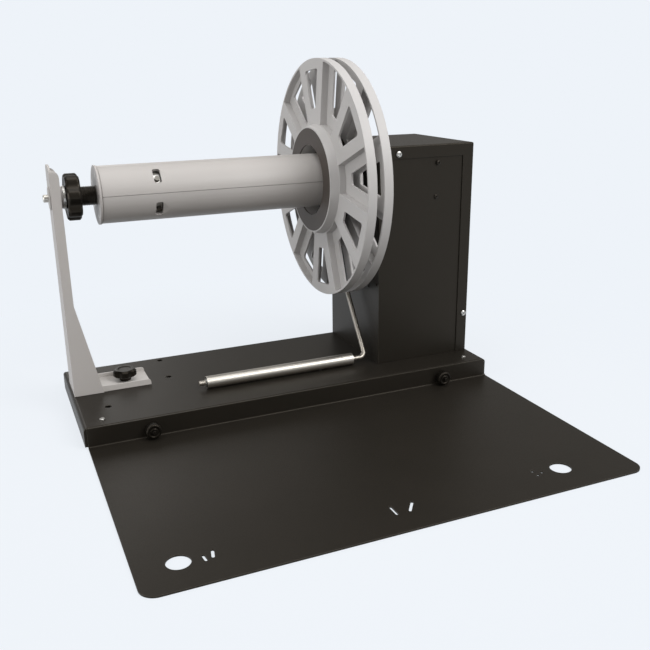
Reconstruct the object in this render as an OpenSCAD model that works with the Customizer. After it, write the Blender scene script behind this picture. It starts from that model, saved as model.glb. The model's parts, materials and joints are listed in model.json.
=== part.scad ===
// Bench label rewinder: a driven spindle with an expanding core chuck and a spoked
// side flange, an outboard support, a hanging tension arm and a front alignment plate.
// X runs along the spindle from the outboard support to the drive housing, Y runs
// from the alignment plate to the back, Z is up. All sizes are in millimetres.
// Pieces are drawn in a building frame: X from the left end of the base, Y from the
// spindle axis, Z from the table. placed() then moves them all, so that the origin is
// the middle of the whole machine's footprint, at table height.

/* [Base tray] */
// Length of the base tray along the spindle
base_len = 585.5; // [570:0.5:640]
// Depth of the base tray from front wall to back wall
base_depth = 215; // [205:1:240]
// Distance from the tray's front wall back to the spindle axis
axis_setback = 137; // [125:1:140]
// Height of the tray's folded walls
tray_h = 25; // [22:0.5:30]
// Gap between the table and the lower edge of the tray walls
tray_lift = 2.5; // [2:0.5:5]
// Sheet thickness of the tray
tray_t = 2; // [1.5:0.1:3]
// Outer radius of the folds at the two ends of the tray
end_fold_r = 5; // [4:0.5:8]
// Outer radius of the folds along the front and the back of the tray
long_fold_r = 3; // [2.5:0.5:5]
// Radius of the spare fixing holes in the tray's top
fixing_hole_r = 4.2; // [3:0.1:5]

/* [Feet] */
// Distance of each foot from the end of the tray
foot_inset_x = 26; // [20:1:32]
// Distance of each foot from the front or back wall
foot_inset_y = 19; // [16:0.5:26]
// Radius of a rubber foot where it stands
foot_r = 11; // [8:0.5:13]
// Radius of a rubber foot under the tray's top
foot_top_r = 9; // [7:0.5:10]
// Radius of the shank of the foot screws
foot_screw_r = 2; // [1.5:0.1:2.5]
// Radius of the head of the foot screws
foot_head_r = 3.6; // [3:0.1:4.5]

/* [Alignment plate] */
// Reach of the plate in front of the tray
plate_reach = 329; // [300:1:360]
// Thickness of the plate
plate_t = 2; // [1.5:0.1:2.5]
// Distance of the plate's left edge from the tray's left end
plate_inset = 3.5; // [2:0.5:10]
// Radius of the plate's front corners
plate_corner_r = 17; // [8:1:25]
// Inner radius of the fold between the plate and its upstand
plate_fold_r = 1.5; // [1:0.1:3]
// Diameter of the two holes that hold the machine's feet
machine_hole_d = 25; // [20:0.5:30]
// Distance of the left hole from the tray's left end
machine_hole_x = 47.5; // [35:0.5:70]
// Distance of the right hole from the tray's right end
machine_hole_right = 88; // [60:0.5:120]
// Distance of the holes from the plate's front edge
machine_hole_y = 43.5; // [30:0.5:60]
// Width of the locating slots beside the holes
slot_w = 3.2; // [2:0.1:4]
// Radius of the three locating dots
dot_r = 2.2; // [1:0.1:2.4]

/* [Plate studs and thumb nuts] */
// Distance of the left stud from the tray's left end
stud_x = 83.5; // [70:0.5:110]
// Distance of the right stud from the tray's right end
stud_right = 78; // [60:0.5:110]
// Height of the studs above the table
stud_z = 13.5; // [13:0.5:15]
// Radius of a stud
stud_r = 2.5; // [2:0.1:3]
// Length of stud that shows in front of a thumb nut
stud_tip = 3.5; // [2:0.5:6]
// Outer radius of a thumb nut
thumb_r = 10; // [7:0.5:10.5]
// Thickness of the gripped rim of a thumb nut
thumb_rim = 10; // [5:0.5:16]
// Length of a thumb nut's neck
thumb_neck = 3; // [2:0.5:5]

/* [Drive housing] */
// Length of the housing along the spindle
house_len = 149; // [140:1:160]
// Depth of the housing over its cover skirts
house_depth = 168.8; // [160:0.1:175]
// Height of the housing's top above the spindle axis
house_over = 50.9; // [48:0.1:60]
// Distance from the housing to the tray's right end
house_gap = 6.4; // [4:0.1:10]
// Distance from the housing's back to the tray's back wall
house_back_gap = 0.3; // [0:0.1:6]
// Sheet thickness of the housing
house_t = 1.5; // [1:0.1:2]
// Height of the cover's skirt
skirt_h = 17.4; // [12:0.2:22]
// Width of the cover's strip down the front and the back
strip_w = 16.4; // [12:0.2:20]
// Fold radius of the cover
cover_fold_r = 2; // [1.6:0.1:3]

/* [Spindle] */
// Height of the spindle axis above the table
axis_h = 291.6; // [285:0.2:294]
// Diameter of the spindle shaft
shaft_d = 12; // [10:0.5:13]
// Diameter of the shaft's outboard end
pin_d = 10; // [8:0.5:10.5]
// Length of the outboard end that shows past its bearing
pin_out = 7; // [4:0.5:10]

/* [Side flange] */
// Diameter of the side flange
flange_d = 335; // [326:1:342]
// Gap between the flange's outer face and the housing
flange_gap = 20; // [18:0.5:24]
// Depth of one moulded disc
disc_depth = 12.6; // [11:0.2:14]
// Gap between the two discs
disc_gap = 10.5; // [8:0.1:12]
// Thickness of the moulded walls
mould_t = 2.8; // [2.2:0.1:3.4]
// Number of raised sectors on a disc
raised_count = 6; // [6:1:6]
// Width of a spoke beside a window
spoke_w = 17.5; // [14:0.5:20]
// Radial width of the rim outside the windows of the raised sectors
rim_w = 15; // [10:0.5:18]
// Radial length of a window in the raised sectors
window_len = 53; // [40:1:60]
// Distance by which the windows of the lower sectors are longer at each end
window_more = 3.5; // [0:0.5:5]
// Corner radius of a window
window_r = 3.5; // [2:0.5:5]
// Turn of the first raised sector's middle above the front of the machine
sector_turn = 36.5; // [0:0.5:60]
// Radius of the hub boss at its root
boss_root_r = 78; // [76:0.5:82]
// Radius of the hub boss at its lip
boss_lip_r = 75; // [72:0.5:76]
// Height of the hub boss above the disc's face
boss_out = 12.1; // [8:0.1:14]
// Width of the lip round the boss
lip_w = 2; // [1.5:0.1:3]
// Radius of the hole through the hub
hub_hole_r = 49.5; // [49:0.1:52]
// Thickness of the rubber pad on the boss
pad_t = 1.8; // [1:0.1:2.5]
// Radius of the circle of hub screws
hub_screw_circle_r = 62; // [58:0.5:66]

/* [Expanding chuck] */
// Diameter of the closed chuck
chuck_d = 75; // [74:0.5:76.5]
// Wall thickness of a shell
shell_t = 5; // [4:0.1:5.5]
// Number of shells
shell_count = 5; // [5:1:5]
// Gap between closed shells
parting = 0.5; // [0.3:0.1:1]
// Radial travel of the shells
chuck_travel = 10.5; // [8:0.5:11]
// Length of a shell window along the axis, without its ramp
shell_window_l = 10; // [9:0.5:12]
// Width of a shell window round the chuck
shell_window_w = 21; // [16:0.5:24]
// Distance of the windows from the chuck's left end
shell_window_x = 68; // [60:1:80]
// Radius of the posts seen in the windows
post_r = 3.4; // [2.5:0.1:3.6]
// Thickness of the chuck's end plate
end_plate_t = 2.5; // [2:0.5:6]

/* [Expansion knob] */
// Radius of the expansion knob over its lobes
knob_r = 30.5; // [28:0.5:34]
// Length of the knob's lobes
knob_len = 16.5; // [14:0.5:20]
// Number of lobes
knob_lobes = 7; // [5:1:8]
// Radius of the knob's stem
stem_r = 12.5; // [11.5:0.1:13.5]
// Length of stem that shows between the knob and the end plate
stem_out = 22; // [16:0.5:26]

/* [Outboard support] */
// Distance from the tray's left end to the support's outer face
support_x = 3.5; // [3:0.5:8]
// Height of the support above the spindle axis
support_over = 42; // [34:1:46]
// Width of the support at its foot
support_foot_w = 58; // [50:1:64]
// Width of the support at its top
support_top_w = 38; // [36:1:44]
// Depth of the support's side flanges
support_deep = 12; // [10:0.5:14]
// Depth of the side flanges at the foot
gusset_deep = 39; // [30:1:46]
// Height above the tray at which the side flanges begin to widen
gusset_h = 125; // [90:1:160]
// Sheet thickness of the support and its foot
support_t = 2.5; // [2:0.1:3]
// Length of the foot channel
foot_channel_len = 104; // [96:1:110]
// Height of the foot channel's lips
foot_lip_h = 8; // [6:0.5:10]
// Distance that the support can be slid outwards
support_travel = 45; // [30:1:50]
// Length of the support's bearing
bearing_len = 20; // [17:0.5:21]

/* [Clamp knob] */
// Distance of the clamp knob from the tray's left end
clamp_x = 76.5; // [70:0.5:85]
// Radius of the clamp knob over its lobes
clamp_r = 16; // [13:0.5:18]
// Height of the clamp knob's lobed head
clamp_head_h = 10.5; // [8:0.5:12]
// Radius of the clamp knob's neck
clamp_neck_r = 8; // [6:0.5:9]
// Height of the clamp knob's neck
clamp_neck_h = 6; // [5:0.5:10]
// Radius of the clamp knob's threaded stud
clamp_stud_r = 3; // [2.5:0.1:3.5]

/* [Tension arm] */
// Radius of the bent rod
rod_r = 3.5; // [2.5:0.1:3.8]
// Distance of the arm's pivot behind the spindle axis
pivot_y = 42; // [36:0.5:46]
// Depth of the arm's pivot below the spindle axis
pivot_under = 92.6; // [88:0.1:100]
// Distance of the roller in front of the spindle axis at rest
roller_y = 73.6; // [66:0.2:80]
// Outer radius of the roller
roller_r = 8.5; // [7:0.1:10]
// Length of the roller
roller_len = 221; // [200:1:228]
// Length of rod that shows past the roller
rod_end = 10; // [7:0.5:12]
// Radius of the bend at the rod's middle line
rod_bend_r = 9; // [8:0.5:12]
// Radius of the collar on the arm's pivot
collar_r = 10; // [9:0.5:11]

/* [Drive] */
// Size of a gear tooth, as its module
gear_module = 1.5; // [1.25:0.25:1.5]
// Teeth on the spindle's gear
gear_teeth = 56; // [50:2:56]
// Teeth on the motor's pinion
pinion_teeth = 20; // [16:2:22]
// Width of the gears
gear_w = 10; // [8:0.5:12]
// Radius of the gear motor
motor_r = 19; // [16:0.5:22]
// Length of the gear motor
motor_len = 58; // [45:1:62]

/* [Switch and inlet] */
// Width of the rocker switch
switch_w = 15; // [12:0.5:18]
// Height of the rocker switch
switch_h = 21; // [18:0.5:24]
// Radius of the power inlet
inlet_r = 5.5; // [4.5:0.1:7]

/* [Hidden] */

$fn = 64;

// Overrun of every cut past the face that it opens
cut = 1;
// Gap between faces that slide past each other, and between seated pieces of two bodies
slide_gap = 0.3;
// Radial clearance of a shaft in its running bore
run_fit = 0.05;
// Radial clearance of a screw or stud in a plain hole
screw_gap = 0.4;
// Depth to which one pressed piece sits in another
press_in = 0.5;

// Heights of the tray
tray_z = tray_lift + tray_h;
tray_front = -axis_setback;
tray_back = base_depth - axis_setback;

// Places along the spindle, from the left end of the base
house_x1 = base_len - house_gap;
house_x0 = house_x1 - house_len;
rear_disc_x = house_x0 - flange_gap;
front_disc_x = rear_disc_x - 2 * disc_depth - disc_gap;
hub_x0 = front_disc_x + disc_depth;
hub_x1 = hub_x0 + disc_gap;
bearing_lip = 1.5;
bearing_x0 = support_x - bearing_lip;
bearing_x1 = bearing_x0 + bearing_len;
knob_x0 = bearing_x1 + slide_gap;
knob_x1 = knob_x0 + knob_len;
plate_x0 = knob_x1 + stem_out;
plate_x1 = plate_x0 + end_plate_t;
shell_x0 = plate_x1 + slide_gap;
shell_x1 = hub_x0 - slide_gap;

// Sizes shared by the spindle's pieces
flange_r = flange_d / 2;
shaft_r = shaft_d / 2;
pin_r = pin_d / 2;
chuck_r = chuck_d / 2;
pin_x0 = bearing_x0 - pin_out;

// Places of the housing
house_y0 = tray_back - house_back_gap - house_depth;
house_y1 = tray_back - house_back_gap;
house_top = axis_h + house_over;
house_h = house_top - tray_z;
frame_y0 = house_y0 + house_t;
frame_y1 = house_y1 - house_t;

// Height of the tension arm's pivot
pivot_z = axis_h - pivot_under;

// The whole machine's footprint, and its middle
overall_x0 = min(pin_x0, 0);
overall_x1 = base_len;
overall_y0 = tray_front - plate_reach;
overall_y1 = max(tray_back, flange_r);
mid_x = (overall_x0 + overall_x1) / 2;
mid_y = (overall_y0 + overall_y1) / 2;

// Moves a piece from the building frame to the machine's own frame
module placed() {
    translate([-mid_x, -mid_y, 0]) children();
}

// Puts a shape drawn about Z at a place on the spindle axis, with its Z along +X
module on_axis(x) {
    translate([x, 0, axis_h]) rotate([0, 90, 0]) children();
}

// Puts a shape drawn about Z at a place, with its Z along +X
module along_x(x, y, z) {
    translate([x, y, z]) rotate([0, 90, 0]) children();
}

// Puts a shape drawn about Z at a place, with its Z along -Y, towards the front
module facing_front(x, y, z) {
    translate([x, y, z]) rotate([90, 0, 0]) children();
}

// Tube about Z
module ring(outer_r, inner_r, h) {
    difference() {
        cylinder(r = outer_r, h = h);
        translate([0, 0, -cut]) cylinder(r = inner_r, h = h + 2 * cut);
    }
}

// Rectangle with its two upper corners rounded, from the origin to [w, h]
module arch_profile(w, h, r) {
    square([w, h - r]);
    translate([r, 0]) square([w - 2 * r, h]);
    translate([r, h - r]) circle(r = r);
    translate([w - r, h - r]) circle(r = r);
}

// Block whose upper edges are rounded with rx over its ends and ry over its long sides
module folded_block(l, d, h, rx, ry) {
    intersection() {
        translate([0, d, 0]) rotate([90, 0, 0]) linear_extrude(d) arch_profile(l, h, rx);
        rotate([90, 0, 90]) linear_extrude(l) arch_profile(d, h, ry);
    }
}

// Knob head about Z: a disc with round hollows between its lobes and softened edges
module lobed_head(r, h, lobes, edge) {
    hollow_share = 0.36;
    depth_share = 0.16;
    hollow_r = r * hollow_share;
    difference() {
        union() {
            translate([0, 0, edge]) cylinder(r = r, h = h - 2 * edge);
            cylinder(r1 = r - edge, r2 = r, h = edge);
            translate([0, 0, h - edge]) cylinder(r1 = r, r2 = r - edge, h = edge);
        }
        for (i = [0 : lobes - 1])
            rotate(360 * (i + 1 / 2) / lobes)
                translate([r * (1 - depth_share) + hollow_r, 0, -cut])
                    cylinder(r = hollow_r, h = h + 2 * cut);
    }
}

// Pan head screw about Z: its shank runs down from the origin and its head stands up
module pan_screw(shank_r, shank_l, head_r, head_h) {
    socket_share = 0.45;
    crown_share = 0.4;
    translate([0, 0, -shank_l]) cylinder(r = shank_r, h = shank_l + head_h * crown_share);
    difference() {
        union() {
            cylinder(r = head_r, h = head_h * (1 - crown_share));
            translate([0, 0, head_h * (1 - crown_share)])
                cylinder(r1 = head_r, r2 = head_r * (1 - crown_share), h = head_h * crown_share);
        }
        translate([0, 0, head_h * crown_share])
            cylinder(r = head_r * socket_share, h = head_h, $fn = 6);
    }
}

// Places of the four feet
foot_places = [for (x = [foot_inset_x, base_len - foot_inset_x],
    y = [tray_front + foot_inset_y, tray_back - foot_inset_y]) [x, y]];

// Spare fixing holes in the tray's top: shares of its length from the left end, and
// shares of its depth from the front wall
fixing_shares = [[0.0675, 0.268], [0.587, 0.299], [0.2323, 0.604], [0.2378, 0.938]];

// Places of the studs for the alignment plate
stud_places = [stud_x, base_len - stud_right];
stud_grip = tray_t + plate_t;

// Slot in the tray under the support's foot, in which the clamp stud travels
module clamp_slot() {
    hole_r = clamp_stud_r + screw_gap;
    translate([clamp_x, 0, tray_z - tray_t - cut]) cylinder(r = hole_r, h = tray_t + 2 * cut);
    translate([clamp_x - support_travel, 0, tray_z - tray_t - cut])
        cylinder(r = hole_r, h = tray_t + 2 * cut);
    translate([clamp_x - support_travel, -hole_r, tray_z - tray_t - cut])
        cube([support_travel, 2 * hole_r, tray_t + 2 * cut]);
}

// Bolts that hold the housing to the tray
house_bolt_r = 2.5;
house_bolt_inset_x = 40;
house_bolt_inset_y = 20;
house_bolt_places = [for (x = [house_x0 + house_bolt_inset_x, house_x1 - house_bolt_inset_x],
    y = [frame_y0 + house_bolt_inset_y, frame_y1 - house_bolt_inset_y]) [x, y]];

// Folded sheet tray, open below
module base_tray() {
    color([0.17, 0.16, 0.15]) placed() difference() {
        translate([0, tray_front, tray_lift])
            folded_block(base_len, base_depth, tray_h, end_fold_r, long_fold_r);
        translate([tray_t, tray_front + tray_t, tray_lift - tray_t])
            folded_block(base_len - 2 * tray_t, base_depth - 2 * tray_t, tray_h,
                end_fold_r - tray_t, long_fold_r - tray_t);
        for (p = foot_places)
            translate([p.x, p.y, tray_z - tray_t - cut])
                cylinder(r = foot_screw_r + screw_gap, h = tray_t + 2 * cut);
        for (s = fixing_shares)
            translate([s[0] * base_len, tray_front + s[1] * base_depth, tray_z - tray_t - cut])
                cylinder(r = fixing_hole_r, h = tray_t + 2 * cut);
        for (p = house_bolt_places)
            translate([p.x, p.y, tray_z - tray_t - cut])
                cylinder(r = house_bolt_r + screw_gap, h = tray_t + 2 * cut);
        for (x = stud_places)
            facing_front(x, tray_front + tray_t + cut, stud_z)
                cylinder(r = stud_r, h = tray_t + 2 * cut);
        clamp_slot();
    }
}

// Rubber feet, which stand inside the tray and carry its top
foot_bore_l = 12;
module rubber_feet() {
    color([0.08, 0.08, 0.08]) placed()
        for (p = foot_places)
            translate([p.x, p.y, 0]) difference() {
                cylinder(r1 = foot_r, r2 = foot_top_r, h = tray_z - tray_t);
                translate([0, 0, tray_z - tray_t - foot_bore_l - cut])
                    cylinder(r = foot_screw_r, h = foot_bore_l + 2 * cut);
            }
}

// Bright screws through the tray's top into the feet
foot_head_h = 2.2;
module foot_screws() {
    color([0.78, 0.78, 0.78]) placed()
        for (p = foot_places)
            translate([p.x, p.y, tray_z])
                pan_screw(foot_screw_r, tray_t + foot_bore_l, foot_head_r, foot_head_h);
}

// Outline of the plate and its upstand seen from the end: the upstand rises at the
// right, the fold is a quarter ring, and the plate runs to the left
plate_front = tray_front - plate_reach;
upstand_y = tray_front - plate_t;
fold_steps = 8;
module plate_section() {
    r_in = plate_fold_r;
    r_out = plate_fold_r + plate_t;
    bend_y = upstand_y - r_in;
    polygon(concat(
        [[plate_front, 0], [plate_front, plate_t]],
        [for (i = [0 : fold_steps]) let (a = -90 + 90 * i / fold_steps)
            [bend_y + r_in * cos(a), r_out + r_in * sin(a)]],
        [[upstand_y, tray_z], [tray_front, tray_z]],
        [for (i = [0 : fold_steps]) let (a = -90 * i / fold_steps)
            [bend_y + r_out * cos(a), r_out + r_out * sin(a)]]));
}

// Slot with round ends between two points of the plate
module plate_slot(a, b, w) {
    d = b - a;
    translate([a.x, a.y, -cut]) rotate(atan2(d.y, d.x)) {
        cylinder(r = w / 2, h = plate_t + 2 * cut);
        translate([0, -w / 2, 0]) cube([norm(d), w, plate_t + 2 * cut]);
        translate([norm(d), 0, 0]) cylinder(r = w / 2, h = plate_t + 2 * cut);
    }
}

// Places of the slots and dots: shares of the distance between the machine holes,
// measured from the left hole's centre
machine_hole_pitch = base_len - machine_hole_x - machine_hole_right;
slot_shares = [[[0.054, 0.002], [0.056, -0.017]], [[0.078, 0.013], [0.073, -0.011]],
    [[0.511, 0.011], [0.511, -0.023]], [[0.569, 0.010], [0.546, -0.022]]];
dot_shares = [[0.923, 0.015], [0.942, 0.001], [0.924, -0.007]];
hole_y = plate_front + machine_hole_y;

// Flat plate with an upstand that stands against the tray's front wall
module alignment_plate() {
    corner = plate_corner_r;
    color([0.17, 0.16, 0.15]) placed() difference() {
        translate([plate_inset, 0, 0]) rotate([90, 0, 90])
            linear_extrude(base_len - plate_inset) plate_section();
        for (side = [0, 1])
            translate([side ? base_len : plate_inset, plate_front, 0]) mirror([side, 0, 0])
                difference() {
                    translate([-cut, -cut, -cut])
                        cube([corner + cut, corner + cut, plate_t + 2 * cut]);
                    translate([corner, corner, -2 * cut])
                        cylinder(r = corner, h = plate_t + 4 * cut);
                }
        translate([base_len - plate_inset, upstand_y - cut, plate_t + plate_fold_r])
            cube([plate_inset + cut, plate_t + 2 * cut, tray_z]);
        for (i = [0, 1])
            translate([machine_hole_x + i * machine_hole_pitch, hole_y, -cut])
                cylinder(r = machine_hole_d / 2, h = plate_t + 2 * cut);
        for (s = slot_shares)
            plate_slot([machine_hole_x + s[0].x * machine_hole_pitch,
                hole_y + s[0].y * machine_hole_pitch],
                [machine_hole_x + s[1].x * machine_hole_pitch,
                hole_y + s[1].y * machine_hole_pitch], slot_w);
        for (s = dot_shares)
            translate([machine_hole_x + s.x * machine_hole_pitch,
                hole_y + s.y * machine_hole_pitch, -cut])
                cylinder(r = dot_r, h = plate_t + 2 * cut);
        for (x = stud_places)
            facing_front(x, tray_front + cut, stud_z)
                cylinder(r = stud_r + screw_gap, h = plate_t + 2 * cut);
    }
}

// Studs pressed into the tray's front wall, with their heads inside
stud_head_h = 1.5;
stud_head_r = 5;
module plate_studs() {
    color([0.78, 0.78, 0.78]) placed()
        for (x = stud_places)
            facing_front(x, tray_front + tray_t, stud_z) {
                translate([0, 0, -stud_head_h]) cylinder(r = stud_head_r, h = stud_head_h);
                cylinder(r = stud_r,
                    h = stud_grip + slide_gap + thumb_neck + thumb_rim + stud_tip);
            }
}

// Thumb nut on a stud
thumb_lobes = 12;
thumb_edge = 0.8;
thumb_neck_share = 0.66;
module thumb_nut(i) {
    color([0.1, 0.1, 0.1]) placed()
        facing_front(stud_places[i], upstand_y - slide_gap, stud_z) difference() {
            union() {
                cylinder(r = thumb_r * thumb_neck_share, h = thumb_neck);
                translate([0, 0, thumb_neck])
                    lobed_head(thumb_r, thumb_rim, thumb_lobes, thumb_edge);
            }
            translate([0, 0, -cut])
                cylinder(r = stud_r + run_fit, h = thumb_neck + thumb_rim + 2 * cut);
        }
}
module thumb_nut_left() { thumb_nut(0); }
module thumb_nut_right() { thumb_nut(1); }

// Places on the housing's front. The panel screws keep their height from the spindle.
upper_screw_shares = [0.19, 0.965];
lower_screw_shares = [0.96, 0.193];
cover_screw_places = [for (s = [upper_screw_shares, lower_screw_shares])
    [house_x0 + s[0] * house_len, tray_z + s[1] * house_h]];
panel_screw_x_share = 0.609;
panel_screw_lean = 0.75;
panel_screw_over = 25;
panel_screw_under = 23;
panel_screw_x = house_x0 + panel_screw_x_share * house_len;
panel_screw_places = [[panel_screw_x + panel_screw_lean, axis_h + panel_screw_over],
    [panel_screw_x - panel_screw_lean, axis_h - panel_screw_under]];
cover_screw_r = 2;
cover_head_r = 4.2;
cover_head_h = 2.2;
panel_screw_r = 1.6;
panel_head_r = 3.2;
panel_head_h = 1.8;
small_screw_r = 1.2;
small_head_r = 1.9;
small_head_h = 1;

// Seats in the housing's walls
spindle_seat_r = 17;
arm_seat_r = 8;
inlet_x_share = 0.3;
switch_x_share = 0.66;
socket_z_share = 0.12;
inlet_x = house_x0 + inlet_x_share * house_len;
switch_x = house_x0 + switch_x_share * house_len;
socket_z = tray_z + socket_z_share * house_h;

// Places of the small screws on the left wall: shares of the housing's depth from the
// front, and of its height from the tray
left_screw_shares = [[0.21, 0.353], [0.056, 0.378], [0.116, 0.399]];
module left_places(x) {
    for (s = left_screw_shares)
        along_x(x, house_y0 + s[0] * house_depth, tray_z + s[1] * house_h) children();
}

// Puts a shape, drawn about Z, at places on the front wall and, where back is true, at
// the same places on the back wall
module front_places(places, y, back) {
    for (p = places, side = back ? [0, 1] : [0])
        translate([p[0], side ? house_y0 + house_y1 - y : y, p[1]])
            rotate([side ? -90 : 90, 0, 0]) children();
}

// Folded frame of the housing: left wall, front, back and floor
module housing_frame() {
    color([0.17, 0.16, 0.15]) placed() difference() {
        translate([house_x0, frame_y0, tray_z])
            cube([house_len - house_t, frame_y1 - frame_y0, house_h - house_t]);
        translate([house_x0 + house_t, frame_y0 + house_t, tray_z + house_t])
            cube([house_len, frame_y1 - frame_y0 - 2 * house_t, house_h]);
        on_axis(house_x0 - cut) cylinder(r = spindle_seat_r, h = house_t + 2 * cut);
        along_x(house_x0 - cut, pivot_y, pivot_z)
            cylinder(r = arm_seat_r, h = house_t + 2 * cut);
        for (p = house_bolt_places)
            translate([p.x, p.y, tray_z - cut])
                cylinder(r = house_bolt_r + screw_gap, h = house_t + 2 * cut);
        for (p = foot_places)
            translate([p.x, p.y, tray_z - cut])
                cylinder(r = foot_head_r + screw_gap, h = house_t + 2 * cut);
        front_places(cover_screw_places, frame_y0 + house_t + cut, true)
            cylinder(r = cover_screw_r, h = house_t + 2 * cut);
        front_places(panel_screw_places, frame_y0 + house_t + cut, false)
            cylinder(r = panel_screw_r, h = house_t + 2 * cut);
        left_places(house_x0 - cut) cylinder(r = small_screw_r, h = house_t + 2 * cut);
        facing_front(inlet_x, frame_y1 + cut, socket_z)
            cylinder(r = inlet_r, h = house_t + 2 * cut);
        translate([switch_x - switch_w / 2, frame_y1 - house_t - cut, socket_z - switch_h / 2])
            cube([switch_w, house_t + 2 * cut, switch_h]);
    }
}

// Cover of the housing: top and right wall, with skirts round the top and strips down
// the front and the back
module housing_cover() {
    skirt_z = house_top - skirt_h;
    outer_x0 = house_x0 - house_t;
    outer_l = house_len + house_t;
    color([0.16, 0.15, 0.14]) placed() difference() {
        translate([outer_x0, house_y0, tray_z])
            folded_block(outer_l, house_depth, house_h, cover_fold_r, cover_fold_r);
        translate([house_x0, frame_y0, tray_z - house_t])
            cube([house_len - house_t, frame_y1 - frame_y0, house_h]);
        translate([outer_x0 - cut, house_y0 - cut, tray_z - cut])
            cube([outer_l - strip_w + cut, house_depth + 2 * cut, skirt_z - tray_z + cut]);
        front_places(cover_screw_places, frame_y0 + cut, true)
            cylinder(r = cover_screw_r, h = house_t + 2 * cut);
        front_places([panel_screw_places[0]], frame_y0 + cut, false)
            translate([0, 0, cut]) cylinder(r = cover_screw_r, h = house_t + cut);
    }
}

// Bright screws of the cover, two at the front and two at the back
module cover_screws() {
    color([0.8, 0.8, 0.8]) placed()
        front_places(cover_screw_places, house_y0, true)
            pan_screw(cover_screw_r, 2 * house_t + cover_head_h, cover_head_r, cover_head_h);
}

// Black screws: two through the front into the gear plate's flange, and three small
// ones in the left wall
module panel_screws() {
    color([0.12, 0.12, 0.12]) placed() {
        front_places([panel_screw_places[0]], house_y0, false)
            pan_screw(panel_screw_r, 2 * house_t + gear_plate_t, panel_head_r, panel_head_h);
        front_places([panel_screw_places[1]], frame_y0, false)
            pan_screw(panel_screw_r, house_t + gear_plate_t, panel_head_r, panel_head_h);
        left_places(house_x0) rotate([180, 0, 0])
            pan_screw(small_screw_r, 2 * house_t, small_head_r, small_head_h);
    }
}

// Bolts that hold the housing's floor to the tray, with their nuts
house_nut_h = 4;
house_nut_r = 4.5;
house_bolt_head_r = 5;
house_bolt_head_h = 2.5;
house_bolt_end = 1;
module house_bolts() {
    color([0.7, 0.7, 0.68]) placed()
        for (p = house_bolt_places)
            translate([p.x, p.y, tray_z + house_t])
                pan_screw(house_bolt_r, house_t + tray_t + house_nut_h + house_bolt_end,
                    house_bolt_head_r, house_bolt_head_h);
}
module house_nuts() {
    color([0.7, 0.7, 0.68]) placed()
        for (p = house_bolt_places)
            translate([p.x, p.y, tray_z - tray_t - house_nut_h]) difference() {
                cylinder(r = house_nut_r, h = house_nut_h, $fn = 6);
                translate([0, 0, -cut]) cylinder(r = house_bolt_r, h = house_nut_h + 2 * cut);
            }
}

// Gears of the drive. The motor's pinion sits straight below the spindle's gear.
pressure_angle = 20;
flank_steps = 4;
tooth_play = 0.12;
root_share = 1.2;
tip_share = 0.95;
gear_gap = 18;
gear_x0 = house_x0 + gear_gap;
gear_hub_r = 12;
gear_hub_l = 5;
gear_plate_gap = 2;
gear_plate_t = 3;
gear_plate_x = gear_x0 + gear_w + gear_hub_l + gear_plate_gap;
centre_distance = gear_module * (gear_teeth + pinion_teeth) / 2;
motor_z = axis_h - centre_distance;
gearbox_len = 20;
gearbox_w = 44;
motor_shaft_r = 3;

// Unwinding angle of an involute where it reaches radius r, in degrees
function unwind(r, base_r) = r <= base_r ? 0 : sqrt(pow(r / base_r, 2) - 1) * 180 / PI;
// Polar angle of that point
function flank_angle(r, base_r) =
    unwind(r, base_r) - atan(unwind(r, base_r) * PI / 180);

// Outline of a gear: each tooth's left flank from root to tip, then its right flank
module gear_outline(teeth) {
    pitch_r = gear_module * teeth / 2;
    base_r = pitch_r * cos(pressure_angle);
    root_r = pitch_r - gear_module * root_share;
    tip_r = pitch_r + gear_module * tip_share;
    half = 90 / teeth - tooth_play / pitch_r * 90 / PI;
    flank_r = [for (i = [0 : flank_steps])
        max(base_r, root_r) + (tip_r - max(base_r, root_r)) * i / flank_steps];
    at_pitch = flank_angle(pitch_r, base_r);
    radii = concat([root_r], flank_r);
    last = len(radii) - 1;
    polygon([for (k = [0 : teeth - 1], side = [-1, 1], i = [0 : last])
        let (r = radii[side < 0 ? i : last - i],
            a = 360 * k / teeth + side * (half + at_pitch - flank_angle(r, base_r)))
        [r * cos(a), r * sin(a)]]);
}

// Gear on the spindle, with its hub
module drive_gear() {
    color([0.86, 0.84, 0.78]) placed() on_axis(gear_x0) difference() {
        union() {
            linear_extrude(gear_w) gear_outline(gear_teeth);
            cylinder(r = gear_hub_r, h = gear_w + gear_hub_l);
        }
        translate([0, 0, -cut]) cylinder(r = shaft_r, h = gear_w + gear_hub_l + 2 * cut);
    }
}

// Pinion and the gear motor's output shaft
module motor_pinion() {
    half_tooth = 180 / pinion_teeth;
    color([0.75, 0.7, 0.5]) placed() along_x(gear_x0, 0, motor_z) rotate(half_tooth) {
        linear_extrude(gear_w) gear_outline(pinion_teeth);
        cylinder(r = motor_shaft_r, h = gear_plate_x + gear_plate_t - gear_x0 + gearbox_len / 2);
    }
}

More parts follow.
